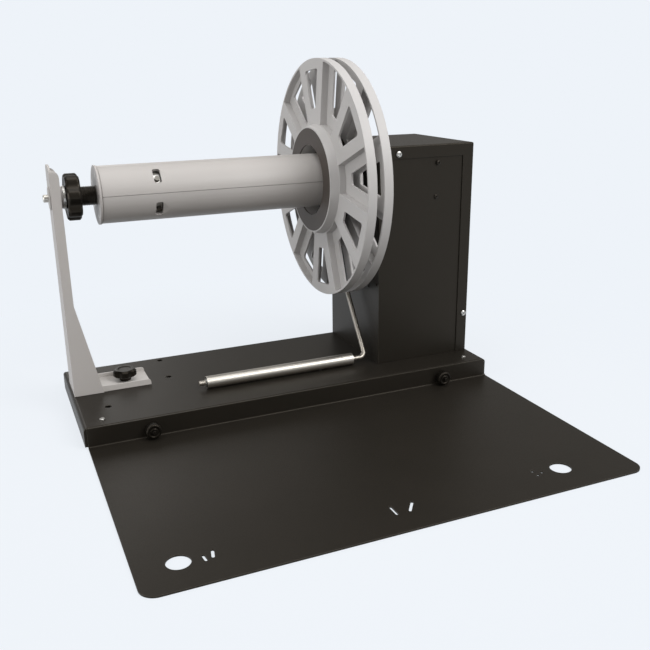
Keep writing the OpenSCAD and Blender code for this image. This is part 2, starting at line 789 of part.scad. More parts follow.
// Plate inside the housing that carries the gear motor and the spindle's end, with a
// flange along the front and the back wall
gear_plate_under = 90;
gear_plate_over = 45;
gear_flange_margin = 6;
gear_flange_l = panel_screw_x + gear_flange_margin - gear_plate_x;
end_seat_r = 12;
gear_plate_hole_r = 9;
module gear_plate() {
    y0 = frame_y0 + house_t;
    d = frame_y1 - frame_y0 - 2 * house_t;
    z0 = axis_h - gear_plate_under;
    h = gear_plate_under + gear_plate_over;
    color([0.7, 0.7, 0.68]) placed() difference() {
        translate([gear_plate_x, y0, z0]) cube([gear_flange_l, d, h]);
        translate([gear_plate_x + gear_plate_t, y0 + gear_plate_t, z0 - cut])
            cube([gear_flange_l, d - 2 * gear_plate_t, h + 2 * cut]);
        on_axis(gear_plate_x - cut) cylinder(r = end_seat_r, h = gear_plate_t + 2 * cut);
        along_x(gear_plate_x - cut, 0, motor_z)
            cylinder(r = gear_plate_hole_r, h = gear_plate_t + 2 * cut);
        front_places(panel_screw_places, y0 + gear_plate_t + cut, false)
            cylinder(r = panel_screw_r, h = gear_plate_t + 2 * cut);
    }
}

// Flanged bearing in the housing's left wall, and the smaller one in the gear plate
bearing_flange_t = 3;
spindle_bearing_l = 14;
module spindle_bearing() {
    color([0.72, 0.72, 0.72]) placed() on_axis(house_x0) difference() {
        union() {
            cylinder(r = spindle_seat_r, h = spindle_bearing_l);
            translate([0, 0, house_t])
                cylinder(r = spindle_seat_r + bearing_flange_t, h = bearing_flange_t);
        }
        translate([0, 0, -cut]) cylinder(r = shaft_r + run_fit, h = spindle_bearing_l + 2 * cut);
    }
}
end_bearing_l = 9;
module shaft_end_bearing() {
    color([0.72, 0.72, 0.72]) placed() on_axis(gear_plate_x) difference() {
        union() {
            cylinder(r = end_seat_r, h = end_bearing_l);
            translate([0, 0, gear_plate_t])
                cylinder(r = end_seat_r + bearing_flange_t, h = bearing_flange_t);
        }
        translate([0, 0, -cut]) cylinder(r = shaft_r + run_fit, h = end_bearing_l + 2 * cut);
    }
}

// Gear motor: gearbox on the gear plate and the round motor behind it
module motor_gearbox() {
    x = gear_plate_x + gear_plate_t;
    color([0.62, 0.62, 0.6]) placed() difference() {
        translate([x, -gearbox_w / 2, motor_z - gearbox_w / 2])
            cube([gearbox_len, gearbox_w, gearbox_w]);
        along_x(x - cut, 0, motor_z) cylinder(r = motor_shaft_r + run_fit, h = gearbox_len);
    }
}
module motor_body() {
    cap_share = 0.82;
    cap_l = 4;
    color([0.5, 0.5, 0.5]) placed()
        along_x(gear_plate_x + gear_plate_t + gearbox_len, 0, motor_z) {
            cylinder(r = motor_r, h = motor_len - cap_l);
            cylinder(r = motor_r * cap_share, h = motor_len);
        }
}

// Control board on its pillars, with its larger parts
board_w = 90;
board_d = 100;
board_t = 1.6;
board_pillar_h = 8;
board_pillar_r = 3;
board_inset = 6;
capacitor_r = 6;
capacitor_h = 18;
capacitor_count = 3;
heat_sink_h = 12;
module control_board() {
    x0 = house_x0 + (house_len - board_w) / 2;
    y0 = (house_y0 + house_y1 - board_d) / 2;
    z0 = tray_z + house_t;
    color([0.1, 0.35, 0.2]) placed() {
        translate([x0, y0, z0 + board_pillar_h]) cube([board_w, board_d, board_t]);
        for (x = [board_inset, board_w - board_inset], y = [board_inset, board_d - board_inset])
            translate([x0 + x, y0 + y, z0]) cylinder(r = board_pillar_r, h = board_pillar_h);
        for (i = [1 : capacitor_count])
            translate([x0 + board_w * i / (capacitor_count + 1), y0 + board_d / 4,
                z0 + board_pillar_h])
                cylinder(r = capacitor_r, h = board_t + capacitor_h);
        translate([x0 + board_w / 4, y0 + board_d / 2, z0 + board_pillar_h])
            cube([board_w / 2, board_d / 4, board_t + heat_sink_h]);
    }
}

// Power inlet and rocker switch in the back wall, above the tray
inlet_lip = 1.5;
inlet_pin_r = 1;
inlet_depth = 9;
module power_inlet() {
    back = frame_y1;
    color([0.1, 0.1, 0.1]) placed() {
        translate([inlet_x, back - house_t, socket_z]) rotate([-90, 0, 0]) difference() {
            union() {
                translate([0, 0, -inlet_depth]) cylinder(r = inlet_r, h = inlet_depth + house_t);
                translate([0, 0, house_t]) cylinder(r = inlet_r + inlet_lip, h = inlet_lip);
            }
            translate([0, 0, -inlet_depth + inlet_lip])
                cylinder(r = inlet_r - inlet_lip, h = inlet_depth + house_t + inlet_lip + cut);
        }
        translate([inlet_x, back - house_t - inlet_depth + inlet_lip / 2, socket_z])
            rotate([-90, 0, 0]) cylinder(r = inlet_pin_r, h = inlet_depth);
    }
}
switch_lip = 2;
switch_deep = 12;
switch_wall = 1.5;
rocker_axle_r = 1.2;
rocker_tilt = 7;
rocker_sink = 4;
rocker_end_gap = 1;
rocker_axis_y = frame_y1 - rocker_sink;
module switch_frame() {
    color([0.1, 0.1, 0.1]) placed() difference() {
        union() {
            translate([switch_x - switch_w / 2, frame_y1 - switch_deep, socket_z - switch_h / 2])
                cube([switch_w, switch_deep, switch_h]);
            translate([switch_x - switch_w / 2 - switch_lip, frame_y1,
                socket_z - switch_h / 2 - switch_lip])
                cube([switch_w + 2 * switch_lip, switch_lip, switch_h + 2 * switch_lip]);
        }
        translate([switch_x - switch_w / 2 + switch_wall, frame_y1 - switch_deep + switch_wall,
            socket_z - switch_h / 2 + switch_wall])
            cube([switch_w - 2 * switch_wall, switch_deep + switch_lip, switch_h - 2 * switch_wall]);
        translate([switch_x - switch_w / 2 - cut, rocker_axis_y, socket_z]) rotate([0, 90, 0])
            cylinder(r = rocker_axle_r + run_fit, h = switch_w + 2 * cut);
    }
}

// Rocker of the switch, a shallow vee whose two faces meet over its axle
module switch_rocker() {
    w = switch_w - 2 * switch_wall - 2 * slide_gap;
    half = switch_h / 2 - switch_wall - rocker_end_gap;
    high = switch_lip + rocker_sink;
    rise = half * tan(rocker_tilt);
    color([0.12, 0.12, 0.12]) placed() translate([switch_x, rocker_axis_y, socket_z]) {
        translate([-w / 2, 0, 0]) rotate([rocker_tilt, 0, 0]) rotate([90, 0, 90])
            linear_extrude(w)
                polygon([[0, -half], [high + rise, -half], [high, 0], [high + rise, half],
                    [0, half], [-rocker_axle_r, 0]]);
        translate([-switch_w / 2 + slide_gap, 0, 0]) rotate([0, 90, 0])
            cylinder(r = rocker_axle_r, h = switch_w - 2 * slide_gap);
    }
}

// Spindle shaft, stepped down at the outboard end
shaft_past = 2;
shaft_end_x = gear_plate_x + end_bearing_l + shaft_past;
shoulder_gap = 0.1;
step_x = bearing_x1 + shoulder_gap;
module spindle_shaft() {
    chamfer = 1;
    color([0.75, 0.74, 0.72]) placed() {
        on_axis(pin_x0) cylinder(r1 = pin_r - chamfer, r2 = pin_r, h = chamfer);
        on_axis(pin_x0 + chamfer) cylinder(r = pin_r, h = step_x - pin_x0);
        on_axis(step_x) cylinder(r = shaft_r, h = shaft_end_x - step_x);
    }
}

// Turns a shape about the spindle so that its +X points to an angle above the front
module clock(a) {
    rotate(270 - a) children();
}

// Hub plate between the discs, with its sleeve on the shaft
hub_plate_r = 70;
hub_sleeve_r = 15;
hub_sleeve_past = 12;
hub_screw_count = 6;
hub_screw_r = 2;
hub_screw_head_r = 3.8;
hub_screw_head_h = 2.4;
hub_screw_sink = 3;
module hub_screw_places() {
    for (i = [0 : hub_screw_count - 1])
        clock(sector_turn + (i + 1 / 2) * 360 / hub_screw_count)
            translate([hub_screw_circle_r, 0, 0]) children();
}
module flange_hub() {
    sleeve_l = rear_disc_x + hub_sleeve_past - hub_x0;
    color([0.12, 0.12, 0.12]) placed() on_axis(hub_x0) difference() {
        union() {
            cylinder(r = hub_plate_r, h = disc_gap);
            cylinder(r = hub_sleeve_r, h = sleeve_l);
        }
        translate([0, 0, -cut]) cylinder(r = shaft_r, h = sleeve_l + 2 * cut);
        translate([0, 0, -cut]) hub_screw_places()
            cylinder(r = hub_screw_r + screw_gap, h = disc_gap + 2 * cut);
    }
}

// One moulded disc about Z: its face at height 0 and its back at disc_depth. Sectors
// lie at the face and at the back by turns, with radial walls between them.
sector_count = 2 * raised_count;
sector_angle = 360 / sector_count;
rim_inner_r = flange_r - mould_t;
boss_step = 0.8;
corner_steps = 4;

// Half width of a window at distance x along the middle of its sector
function window_half(x) = x * tan(sector_angle / 2) - spoke_w / cos(sector_angle / 2);

// Rounded corner of a window: an arc of radius window_r between two directions
function corner_arc(c, a0, a1) = [for (i = [0 : corner_steps])
    c + window_r * [cos(a0 + (a1 - a0) * i / corner_steps),
        sin(a0 + (a1 - a0) * i / corner_steps)]];

// Window outline along +X: two straight ends, and sides parallel to the spokes. It
// reaches further by more at both ends.
module window_outline(more) {
    lean = sector_angle / 2;
    r1 = flange_r - rim_w + more;
    r0 = flange_r - rim_w - window_len - more;
    inner_y = window_half(r0 + window_r) - window_r / cos(lean);
    outer_y = window_half(r1 - window_r) - window_r / cos(lean);
    polygon(concat(
        corner_arc([r0 + window_r, inner_y], 90 + lean, 180),
        corner_arc([r0 + window_r, -inner_y], 180, 270 - lean),
        corner_arc([r1 - window_r, -outer_y], 270 - lean, 360),
        corner_arc([r1 - window_r, outer_y], 0, 90 + lean)));
}

// Pocket of a sector about +X, between the boss, the rim and two radial walls
module sector_pocket(z) {
    reach = flange_d;
    half = sector_angle / 2;
    apex = mould_t / 2 / sin(half);
    translate([0, 0, z]) linear_extrude(disc_depth) difference() {
        intersection() {
            polygon([[apex, 0], [apex + reach, -reach * tan(half)],
                [apex + reach, reach * tan(half)]]);
            circle(r = rim_inner_r);
        }
        circle(r = boss_root_r + boss_step);
    }
}

// Half outlines of the two discs: the front one has a boss with a lip round its pad,
// the rear one is flat
boss_profile = [[hub_hole_r, -boss_out + pad_t], [boss_lip_r - lip_w, -boss_out + pad_t],
    [boss_lip_r - lip_w, -boss_out], [boss_lip_r, -boss_out], [boss_root_r, 0], [flange_r, 0],
    [flange_r, disc_depth], [hub_hole_r, disc_depth]];
flat_profile = [[hub_hole_r, 0], [flange_r, 0], [flange_r, disc_depth],
    [hub_hole_r, disc_depth]];

// A disc is turned, then its pockets and windows are cut
module flange_disc(profile) {
    difference() {
        rotate_extrude() polygon(profile);
        for (i = [0 : sector_count - 1])
            clock(sector_turn + i * sector_angle) {
                sector_pocket(i % 2 == 0 ? mould_t : -mould_t);
                translate([0, 0, -cut]) linear_extrude(disc_depth + 2 * cut)
                    window_outline(i % 2 == 0 ? 0 : window_more);
            }
    }
}

module front_flange() {
    color([0.7, 0.69, 0.69]) placed() on_axis(front_disc_x) difference() {
        flange_disc(boss_profile);
        translate([0, 0, -boss_out]) hub_screw_places() {
            cylinder(r = hub_screw_r + screw_gap, h = boss_out + disc_depth + cut);
            cylinder(r = hub_screw_head_r + screw_gap, h = pad_t + hub_screw_sink);
        }
    }
}

module rear_flange() {
    color([0.7, 0.69, 0.69]) placed() on_axis(rear_disc_x) mirror([0, 0, 1]) difference() {
        flange_disc(flat_profile);
        translate([0, 0, disc_depth / 2]) hub_screw_places()
            cylinder(r = hub_screw_r, h = disc_depth / 2 + cut);
    }
}

// Screws that clamp the front disc and the hub plate to the rear disc
module flange_screws() {
    l = boss_out - pad_t - hub_screw_sink + disc_depth + disc_gap + disc_depth / 2;
    color([0.75, 0.75, 0.75]) placed()
        on_axis(front_disc_x - boss_out + pad_t + hub_screw_sink) hub_screw_places()
            mirror([0, 0, 1]) pan_screw(hub_screw_r, l, hub_screw_head_r, hub_screw_head_h);
}

// Dark pad ring in the boss
module hub_pad() {
    color([0.27, 0.27, 0.28]) placed()
        on_axis(front_disc_x - boss_out) ring(boss_lip_r - lip_w, hub_hole_r, pad_t);
}

// Expanding chuck. Two cones with threads of opposite hand slide on a threaded
// sleeve, and their grooves carry the feet of the shells outwards.
parting_turn = 3;
window_turn = 1.5;
sleeve_r = 9;
cone_slope = 0.7;
cone_small_r = 11.5;
cone_foot_l = 4;
cone_slide = chuck_travel / cone_slope;
cone_l = cone_slide + cone_foot_l;
cone_big_r = cone_small_r + cone_slope * cone_l;
groove_d = 1.5;
groove_w = 10.6;
foot_w = 10;
cone_end_gap = 4;
cone_left_x = plate_x1 + cone_end_gap;
cone_right_x = hub_x0 - cone_end_gap;
shell_inner_r = chuck_r - shell_t;
tie_r = 2.5;
tie_circle_r = 28;
end_plate_lip = 1;
function shell_angle(i) = parting_turn + (i + 1 / 2) * 360 / shell_count;
function post_angle(i) = (i + 1 / 2) * 360 / shell_count;

// End plate of the chuck, on the tie rods
module chuck_end_plate() {
    plate_r = chuck_r + end_plate_lip;
    color([0.77, 0.75, 0.73]) placed() on_axis(plate_x0) difference() {
        cylinder(r = plate_r, h = end_plate_t);
        translate([0, 0, -cut]) cylinder(r = sleeve_r + run_fit, h = end_plate_t + 2 * cut);
        for (i = [0 : shell_count - 1])
            clock(parting_turn + i * 360 / shell_count) translate([tie_circle_r, 0, -cut])
                cylinder(r = tie_r, h = end_plate_t + 2 * cut);
    }
}

// Rods that tie the end plate and the guide disc to the hub plate
module tie_rods() {
    color([0.75, 0.75, 0.75]) placed() on_axis(plate_x0)
        for (i = [0 : shell_count - 1])
            clock(parting_turn + i * 360 / shell_count) translate([tie_circle_r, 0, 0])
                cylinder(r = tie_r, h = hub_x0 - plate_x0);
}

// Disc inside the shells behind their windows, with a post in each window
guide_r = 31;
guide_t = 9;
window_mid_x = shell_x0 + shell_window_x + shell_window_l / 2;
post_top_r = 35;
post_root_r = 20;
module guide_disc() {
    color([0.2, 0.2, 0.2]) placed() on_axis(window_mid_x - guide_t / 2) difference() {
        cylinder(r = guide_r, h = guide_t);
        translate([0, 0, -cut]) cylinder(r = sleeve_r + slide_gap, h = guide_t + 2 * cut);
        for (i = [0 : shell_count - 1])
            clock(parting_turn + i * 360 / shell_count) translate([tie_circle_r, 0, -cut])
                cylinder(r = tie_r, h = guide_t + 2 * cut);
        for (i = [0 : shell_count - 1])
            translate([0, 0, guide_t / 2]) clock(post_angle(i)) translate([post_root_r, 0, 0])
                rotate([0, 90, 0]) cylinder(r = post_r, h = guide_r);
    }
}
module guide_posts() {
    color([0.85, 0.85, 0.85]) placed() on_axis(window_mid_x)
        for (i = [0 : shell_count - 1])
            clock(post_angle(i)) translate([post_root_r, 0, 0])
                rotate([0, 90, 0]) cylinder(r = post_r, h = post_top_r - post_root_r);
}

// Threaded sleeve that the knob turns
module expansion_sleeve() {
    color([0.7, 0.7, 0.7]) placed() on_axis(knob_x0)
        ring(sleeve_r, shaft_r + run_fit, hub_x0 - slide_gap - knob_x0);
}

// Cone about Z, its big end at height 0, with a groove for each shell's foot
module chuck_cone() {
    lean = atan(cone_slope);
    long = 2 * cone_l;
    difference() {
        cylinder(r1 = cone_big_r, r2 = cone_small_r, h = cone_l);
        translate([0, 0, -cut]) cylinder(r = sleeve_r + run_fit, h = cone_l + 2 * cut);
        for (i = [0 : shell_count - 1])
            clock(shell_angle(i)) translate([cone_big_r - groove_d, 0, 0]) rotate([0, -lean, 0])
                translate([0, -groove_w / 2, -cone_l / 2]) cube([cone_big_r, groove_w, long]);
    }
}
module cone_left() {
    color([0.72, 0.72, 0.72]) placed() on_axis(cone_left_x) chuck_cone();
}
module cone_right() {
    color([0.72, 0.72, 0.72]) placed() on_axis(cone_right_x) mirror([0, 0, 1]) chuck_cone();
}

// Foot of a shell seen from the side: it follows the groove of a cone whose small end
// is at height 0 and whose big end is below
module foot_profile() {
    low = cone_small_r - groove_d + slide_gap;
    polygon([[low, 0], [low + cone_slope * cone_foot_l, -cone_foot_l],
        [shell_inner_r + press_in, -cone_foot_l], [shell_inner_r + press_in, 0]]);
}

// Block with rounded corners along +X, from height 0 to l and w wide, starting at x
module rounded_bar(x, l, w, r, long) {
    translate([x, -w / 2, 0]) rotate([0, 90, 0]) linear_extrude(long) {
        translate([-l, r]) square([l, w - 2 * r]);
        translate([r - l, 0]) square([l - 2 * r, w]);
        for (a = [r - l, -r], b = [r, w - r])
            translate([a, b]) circle(r = r);
    }
}

// One shell of the chuck: a fifth of a tube with a window, a ramp beside the window,
// and two feet inside
window_corner_r = 3;
ramp_l = 7;
ramp_d = 2.5;
shell_chamfer = 1;
module chuck_shell(i) {
    l = shell_x1 - shell_x0;
    half = 180 / shell_count;
    reach = 2 * chuck_r;
    recess_l = shell_window_l + ramp_l;
    color([0.77, 0.75, 0.73]) placed() on_axis(shell_x0) clock(shell_angle(i)) {
        difference() {
            intersection() {
                rotate_extrude() polygon([[shell_inner_r, 0], [chuck_r - shell_chamfer, 0],
                    [chuck_r, shell_chamfer], [chuck_r, l], [shell_inner_r, l]]);
                translate([parting / 2 / sin(half), 0, 0]) linear_extrude(l)
                    polygon([[0, 0], [reach * cos(half), -reach * sin(half)],
                        [reach * cos(half), reach * sin(half)]]);
            }
            rotate(-window_turn) translate([0, 0, shell_window_x]) {
                rounded_bar(shell_inner_r / 2, shell_window_l, shell_window_w,
                    window_corner_r, chuck_r);
                intersection() {
                    rounded_bar(shell_inner_r / 2, recess_l, shell_window_w,
                        window_corner_r, chuck_r);
                    translate([chuck_r - ramp_d, -shell_window_w / 2, 0])
                        rotate([0, atan(ramp_d / recess_l), 0])
                            cube([chuck_r, shell_window_w, 2 * recess_l]);
                }
            }
        }
        for (end = [0, 1])
            translate([0, 0, end ? cone_right_x - cone_l - shell_x0 : cone_left_x + cone_l - shell_x0])
                mirror([0, 0, end]) rotate([90, 0, 0]) translate([0, 0, -foot_w / 2])
                    linear_extrude(foot_w) foot_profile();
    }
}
module shell_1() { chuck_shell(0); }
module shell_2() { chuck_shell(1); }
module shell_3() { chuck_shell(2); }
module shell_4() { chuck_shell(3); }
module shell_5() { chuck_shell(4); }

// Knob that opens and closes the chuck, with its stem
knob_edge = 2;
knob_turn = 62;
module expansion_knob() {
    color([0.09, 0.09, 0.09]) placed() on_axis(knob_x0) difference() {
        union() {
            clock(knob_turn) lobed_head(knob_r, knob_len, knob_lobes, knob_edge);
            cylinder(r = stem_r, h = plate_x0 - slide_gap - knob_x0);
        }
        translate([0, 0, -cut]) cylinder(r = sleeve_r, h = plate_x0 - knob_x0 + 2 * cut);
    }
}

// Outboard support: a folded channel that narrows upwards. Its face is the outline seen
// from the left, and its edge the outline seen from the front.
support_z0 = tray_z + slide_gap;
support_top_z = axis_h + support_over;
support_lip_drop = 5;
support_corner_r = 10;
round_steps = 8;
bearing_body_r = 14;
bearing_lip_r = 15;
bearing_spigot_r = 9;
bearing_washer_t = 3;

// Points of a quarter circle that starts at angle a
function quarter(c, r, a) = [for (i = [0 : round_steps])
    c + r * [cos(a + 90 * i / round_steps), sin(a + 90 * i / round_steps)]];

// Face of the support
module support_face() {
    foot = support_foot_w / 2;
    top = support_top_w / 2;
    h = support_top_z - support_z0;
    r = support_corner_r;
    polygon(concat([[-foot, 0], [foot, 0]], quarter([top - r, h - r], r, 0),
        quarter([r - top, h - r], r, 90)));
}
module support_inside() {
    foot = support_foot_w / 2 - support_t;
    lean = (support_foot_w - support_top_w) / 2 / (support_top_z - support_z0);
    h = support_top_z - support_z0 + cut;
    polygon([[-foot - lean, -cut], [foot + lean, -cut], [foot - lean * h, h],
        [lean * h - foot, h]]);
}
module support_edge() {
    lip_z = support_top_z - support_lip_drop;
    r = support_corner_r;
    polygon(concat([[0, support_z0], [gusset_deep, support_z0], [support_deep, tray_z + gusset_h]],
        quarter([support_deep - r, lip_z - r], r, 0),
        [[support_t, lip_z], [support_t, support_top_z], [0, support_top_z]]));
}
module support_arm() {
    color([0.74, 0.73, 0.72]) placed() difference() {
        intersection() {
            translate([support_x, 0, support_z0]) rotate([90, 0, 90])
                linear_extrude(gusset_deep) support_face();
            translate([support_x, support_foot_w, 0]) rotate([90, 0, 0])
                linear_extrude(2 * support_foot_w) support_edge();
        }
        translate([support_x + support_t, 0, support_z0]) rotate([90, 0, 90])
            linear_extrude(gusset_deep) support_inside();
        on_axis(support_x - cut) cylinder(r = bearing_body_r, h = support_t + 2 * cut);
    }
}

// Foot channel welded inside the support; the clamp knob presses it on the tray
foot_end_r = 4;
module support_foot() {
    half = support_foot_w / 2 - support_t - slide_gap;
    l = foot_channel_len - support_t;
    color([0.74, 0.73, 0.72]) placed()
        translate([support_x + support_t, -half, support_z0]) difference() {
            translate([0, 2 * half, 0]) rotate([90, 0, 0]) linear_extrude(2 * half)
                polygon(concat([[0, foot_lip_h], [0, 0], [l, 0]],
                    quarter([l - foot_end_r, foot_lip_h - foot_end_r], foot_end_r, 0)));
            translate([-cut, support_t, support_t])
                cube([l + 2 * cut, 2 * half - 2 * support_t, foot_lip_h]);
            translate([clamp_x - support_x - support_t, half, -cut])
                cylinder(r = clamp_stud_r + screw_gap, h = support_t + 2 * cut);
        }
}

// Flanged bearing bush of the outboard support, and the nut ring that holds it
module end_bearing() {
    color([0.8, 0.79, 0.77]) placed() on_axis(bearing_x0) difference() {
        union() {
            cylinder(r = bearing_lip_r, h = bearing_lip);
            cylinder(r = bearing_body_r, h = bearing_len - bearing_washer_t);
            cylinder(r = bearing_spigot_r, h = bearing_len);
        }
        translate([0, 0, -cut]) cylinder(r = pin_r + run_fit, h = bearing_len + 2 * cut);
    }
}
module bearing_nut() {
    color([0.82, 0.82, 0.8]) placed() on_axis(bearing_x1 - bearing_washer_t)
        ring(bearing_lip_r, bearing_spigot_r, bearing_washer_t);
}

// Clamp knob with its threaded stud, and the nut under the tray
clamp_nut_h = 5;
clamp_nut_w = 14;
clamp_lobes = 5;
clamp_turn = -26;
clamp_edge = 1.5;
clamp_stud_past = 2;
clamp_nut_z = tray_z - tray_t - slide_gap - clamp_nut_h;
module clamp_knob() {
    neck_z = support_z0 + support_t + slide_gap;
    stud_z0 = clamp_nut_z - clamp_stud_past;
    color([0.09, 0.09, 0.09]) placed() translate([clamp_x, 0, 0]) {
        translate([0, 0, stud_z0]) cylinder(r = clamp_stud_r, h = neck_z + clamp_neck_h - stud_z0);
        translate([0, 0, neck_z]) cylinder(r = clamp_neck_r, h = clamp_neck_h);
        translate([0, 0, neck_z + clamp_neck_h]) rotate(clamp_turn)
            lobed_head(clamp_r, clamp_head_h, clamp_lobes, clamp_edge);
    }
}
module clamp_nut() {
    color([0.75, 0.75, 0.73]) placed() translate([clamp_x, 0, clamp_nut_z]) difference() {
        translate([-clamp_nut_w / 2, -clamp_nut_w / 2, 0])
            cube([clamp_nut_w, clamp_nut_w, clamp_nut_h]);
        translate([0, 0, -cut])
            cylinder(r = clamp_stud_r + run_fit, h = clamp_nut_h + 2 * cut);
    }
}

// Tension arm: a bent rod that hangs from its pivot and carries the roller. Its own
// frame has the pivot at the origin and the rod along -Z.
rod_gap = 2.4;
rod_x = rear_disc_x + rod_r + rod_gap;
roller_z = tray_z + slide_gap + roller_r;
arm_drop = [-roller_y - pivot_y, roller_z - pivot_z];
arm_len = norm(arm_drop);
arm_tilt = atan2(arm_drop[0], -arm_drop[1]);
roller_end_gap = 12.5;
roller_x1 = rod_x - rod_bend_r - roller_end_gap;
roller_x0 = roller_x1 - roller_len;
rod_x0 = roller_x0 - rod_end;
pivot_r = 4;
collar_len = 11;
collar_lead = 4;
rod_seat = 1;
collar_x0 = rod_x - collar_lead;
module arm_frame() {
    translate([rod_x, pivot_y, pivot_z]) rotate([arm_tilt, 0, 0]) children();
}
module tension_rod() {
    top = pivot_r + rod_seat;
    straight = arm_len - rod_bend_r;
    color([0.8, 0.8, 0.79]) placed() arm_frame() {
        translate([0, 0, -straight]) cylinder(r = rod_r, h = straight - top);
        translate([-rod_bend_r, 0, -straight]) rotate([90, 0, 0]) rotate([0, 0, -90])
            rotate_extrude(angle = 90) translate([rod_bend_r, 0]) circle(r = rod_r);
        translate([rod_x0 - rod_x, 0, -arm_len]) rotate([0, 90, 0])
            cylinder(r = rod_r, h = rod_x - rod_x0 - rod_bend_r);
    }
}
module arm_collar() {
    color([0.13, 0.13, 0.13]) placed() arm_frame() difference() {
        translate([collar_x0 - rod_x, 0, 0]) rotate([0, 90, 0])
            ring(collar_r, pivot_r, collar_len);
        translate([0, 0, -collar_r - cut]) cylinder(r = rod_r, h = collar_r + cut - pivot_r - rod_seat);
    }
}
module pivot_shaft() {
    color([0.75, 0.75, 0.75]) placed() along_x(collar_x0, pivot_y, pivot_z)
        cylinder(r = pivot_r, h = sensor_x + sensor_l - collar_x0);
}

// Bush of the arm's pivot in the housing's left wall
arm_bush_out = 2;
arm_bush_l = 13;
arm_bush_flange_r = 11;
module arm_bush() {
    color([0.7, 0.66, 0.5]) placed() difference() {
        union() {
            along_x(house_x0 - arm_bush_out, pivot_y, pivot_z)
                cylinder(r = arm_seat_r, h = arm_bush_l);
            along_x(house_x0 + house_t, pivot_y, pivot_z)
                cylinder(r = arm_bush_flange_r, h = arm_bush_out);
        }
        along_x(house_x0 - arm_bush_out - cut, pivot_y, pivot_z)
            cylinder(r = pivot_r + run_fit, h = arm_bush_l + 2 * cut);
    }
}

// Angle sensor that the arm's pivot turns, on two legs from the left wall
sensor_gap = 16;
sensor_x = house_x0 + sensor_gap;
sensor_l = 12;
sensor_w = 24;
sensor_leg = 6;
module arm_sensor() {
    x = house_x0 + house_t;
    leg_y = pivot_y - sensor_w / 2;
    color([0.15, 0.2, 0.3]) placed() difference() {
        union() {
            translate([sensor_x, leg_y, pivot_z - sensor_w / 2 - sensor_leg])
                cube([sensor_l, sensor_w, sensor_w + 2 * sensor_leg]);
            for (z = [pivot_z - sensor_w / 2 - sensor_leg, pivot_z + sensor_w / 2])
                translate([x, leg_y, z]) cube([sensor_x - x + sensor_l, sensor_w, sensor_leg]);
        }
        along_x(sensor_x - cut, pivot_y, pivot_z)
            cylinder(r = pivot_r + run_fit, h = sensor_l + 2 * cut);
    }
}

// Roller tube with a bush in each end, between two clips on the rod
roller_wall = 1.2;
roller_bush_l = 8;
clip_r = 5.5;
clip_t = 1;
module roller_tube() {
    color([0.83, 0.83, 0.83]) placed() along_x(roller_x0, -roller_y, roller_z)
        ring(roller_r, roller_r - roller_wall, roller_len);
}
module roller_bushes() {
    color([0.2, 0.2, 0.2]) placed()
        for (x = [roller_x0, roller_x1 - roller_bush_l])
            along_x(x, -roller_y, roller_z)
                ring(roller_r - roller_wall, rod_r + run_fit, roller_bush_l);
}
module rod_clips() {
    color([0.7, 0.7, 0.7]) placed()
        for (x = [roller_x0 - slide_gap - clip_t, roller_x1 + slide_gap])
            along_x(x, -roller_y, roller_z) ring(clip_r, rod_r, clip_t);
}

base_tray();
rubber_feet();
foot_screws();
alignment_plate();
plate_studs();
thumb_nut_left();
thumb_nut_right();
housing_frame();
housing_cover();
cover_screws();
panel_screws();
house_bolts();
house_nuts();
gear_plate();
spindle_bearing();
shaft_end_bearing();
motor_body();
motor_gearbox();
motor_pinion();
drive_gear();
control_board();
arm_bush();
arm_sensor();
power_inlet();
switch_frame();
switch_rocker();
spindle_shaft();
flange_hub();
front_flange();
rear_flange();
flange_screws();
hub_pad();
chuck_end_plate();
tie_rods();
guide_disc();
guide_posts();
shell_1();
shell_2();
shell_3();
shell_4();
shell_5();
cone_left();
cone_right();
expansion_sleeve();
expansion_knob();
support_arm();
support_foot();
end_bearing();
bearing_nut();
clamp_nut();
clamp_knob();
pivot_shaft();
arm_collar();
tension_rod();
rod_clips();
roller_tube();
roller_bushes();
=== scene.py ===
"""Looks of the bench label rewinder: camera, studio light, and a finish for every piece.

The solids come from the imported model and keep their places. This script gives each one
the surface of the real piece, and shows the knobs and nuts in fuller shapes than their
solids have. Blender's lengths are metres; MM turns millimetres into metres.
"""

import json
import math

import bpy
import numpy as np
from mathutils import Matrix, Vector


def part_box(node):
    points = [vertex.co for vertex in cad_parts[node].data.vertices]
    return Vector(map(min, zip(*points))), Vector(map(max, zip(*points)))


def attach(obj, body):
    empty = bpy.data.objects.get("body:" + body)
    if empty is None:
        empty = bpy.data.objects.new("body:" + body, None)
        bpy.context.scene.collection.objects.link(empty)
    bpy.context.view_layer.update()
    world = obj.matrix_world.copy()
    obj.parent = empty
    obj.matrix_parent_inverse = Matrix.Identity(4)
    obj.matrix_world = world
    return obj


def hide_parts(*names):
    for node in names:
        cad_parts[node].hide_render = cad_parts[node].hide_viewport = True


MM = 0.001

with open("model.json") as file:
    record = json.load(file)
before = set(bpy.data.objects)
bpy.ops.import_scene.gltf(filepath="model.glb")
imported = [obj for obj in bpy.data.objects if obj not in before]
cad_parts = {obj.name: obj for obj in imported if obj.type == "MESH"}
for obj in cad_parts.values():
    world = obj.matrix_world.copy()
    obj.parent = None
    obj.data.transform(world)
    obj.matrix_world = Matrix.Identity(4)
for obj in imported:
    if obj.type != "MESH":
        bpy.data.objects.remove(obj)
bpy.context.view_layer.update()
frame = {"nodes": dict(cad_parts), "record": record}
nodes = frame["nodes"]


# Camera

# The camera was fitted to the photograph: its place, its turn to the right of the +Y
# axis, its look downwards, its roll, and its focal length in pixels of a 650 pixel frame.
CAMERA_PLACE = Vector((-373.05, -937.35, 451.5)) * MM
YAW, PITCH, ROLL = (math.radians(a) for a in (23.24, 17.95, -0.71))
FOCAL_PIXELS = 807.4
FRAME_PIXELS = 650
SENSOR = 36.0
NEAREST, FURTHEST = 0.05, 50


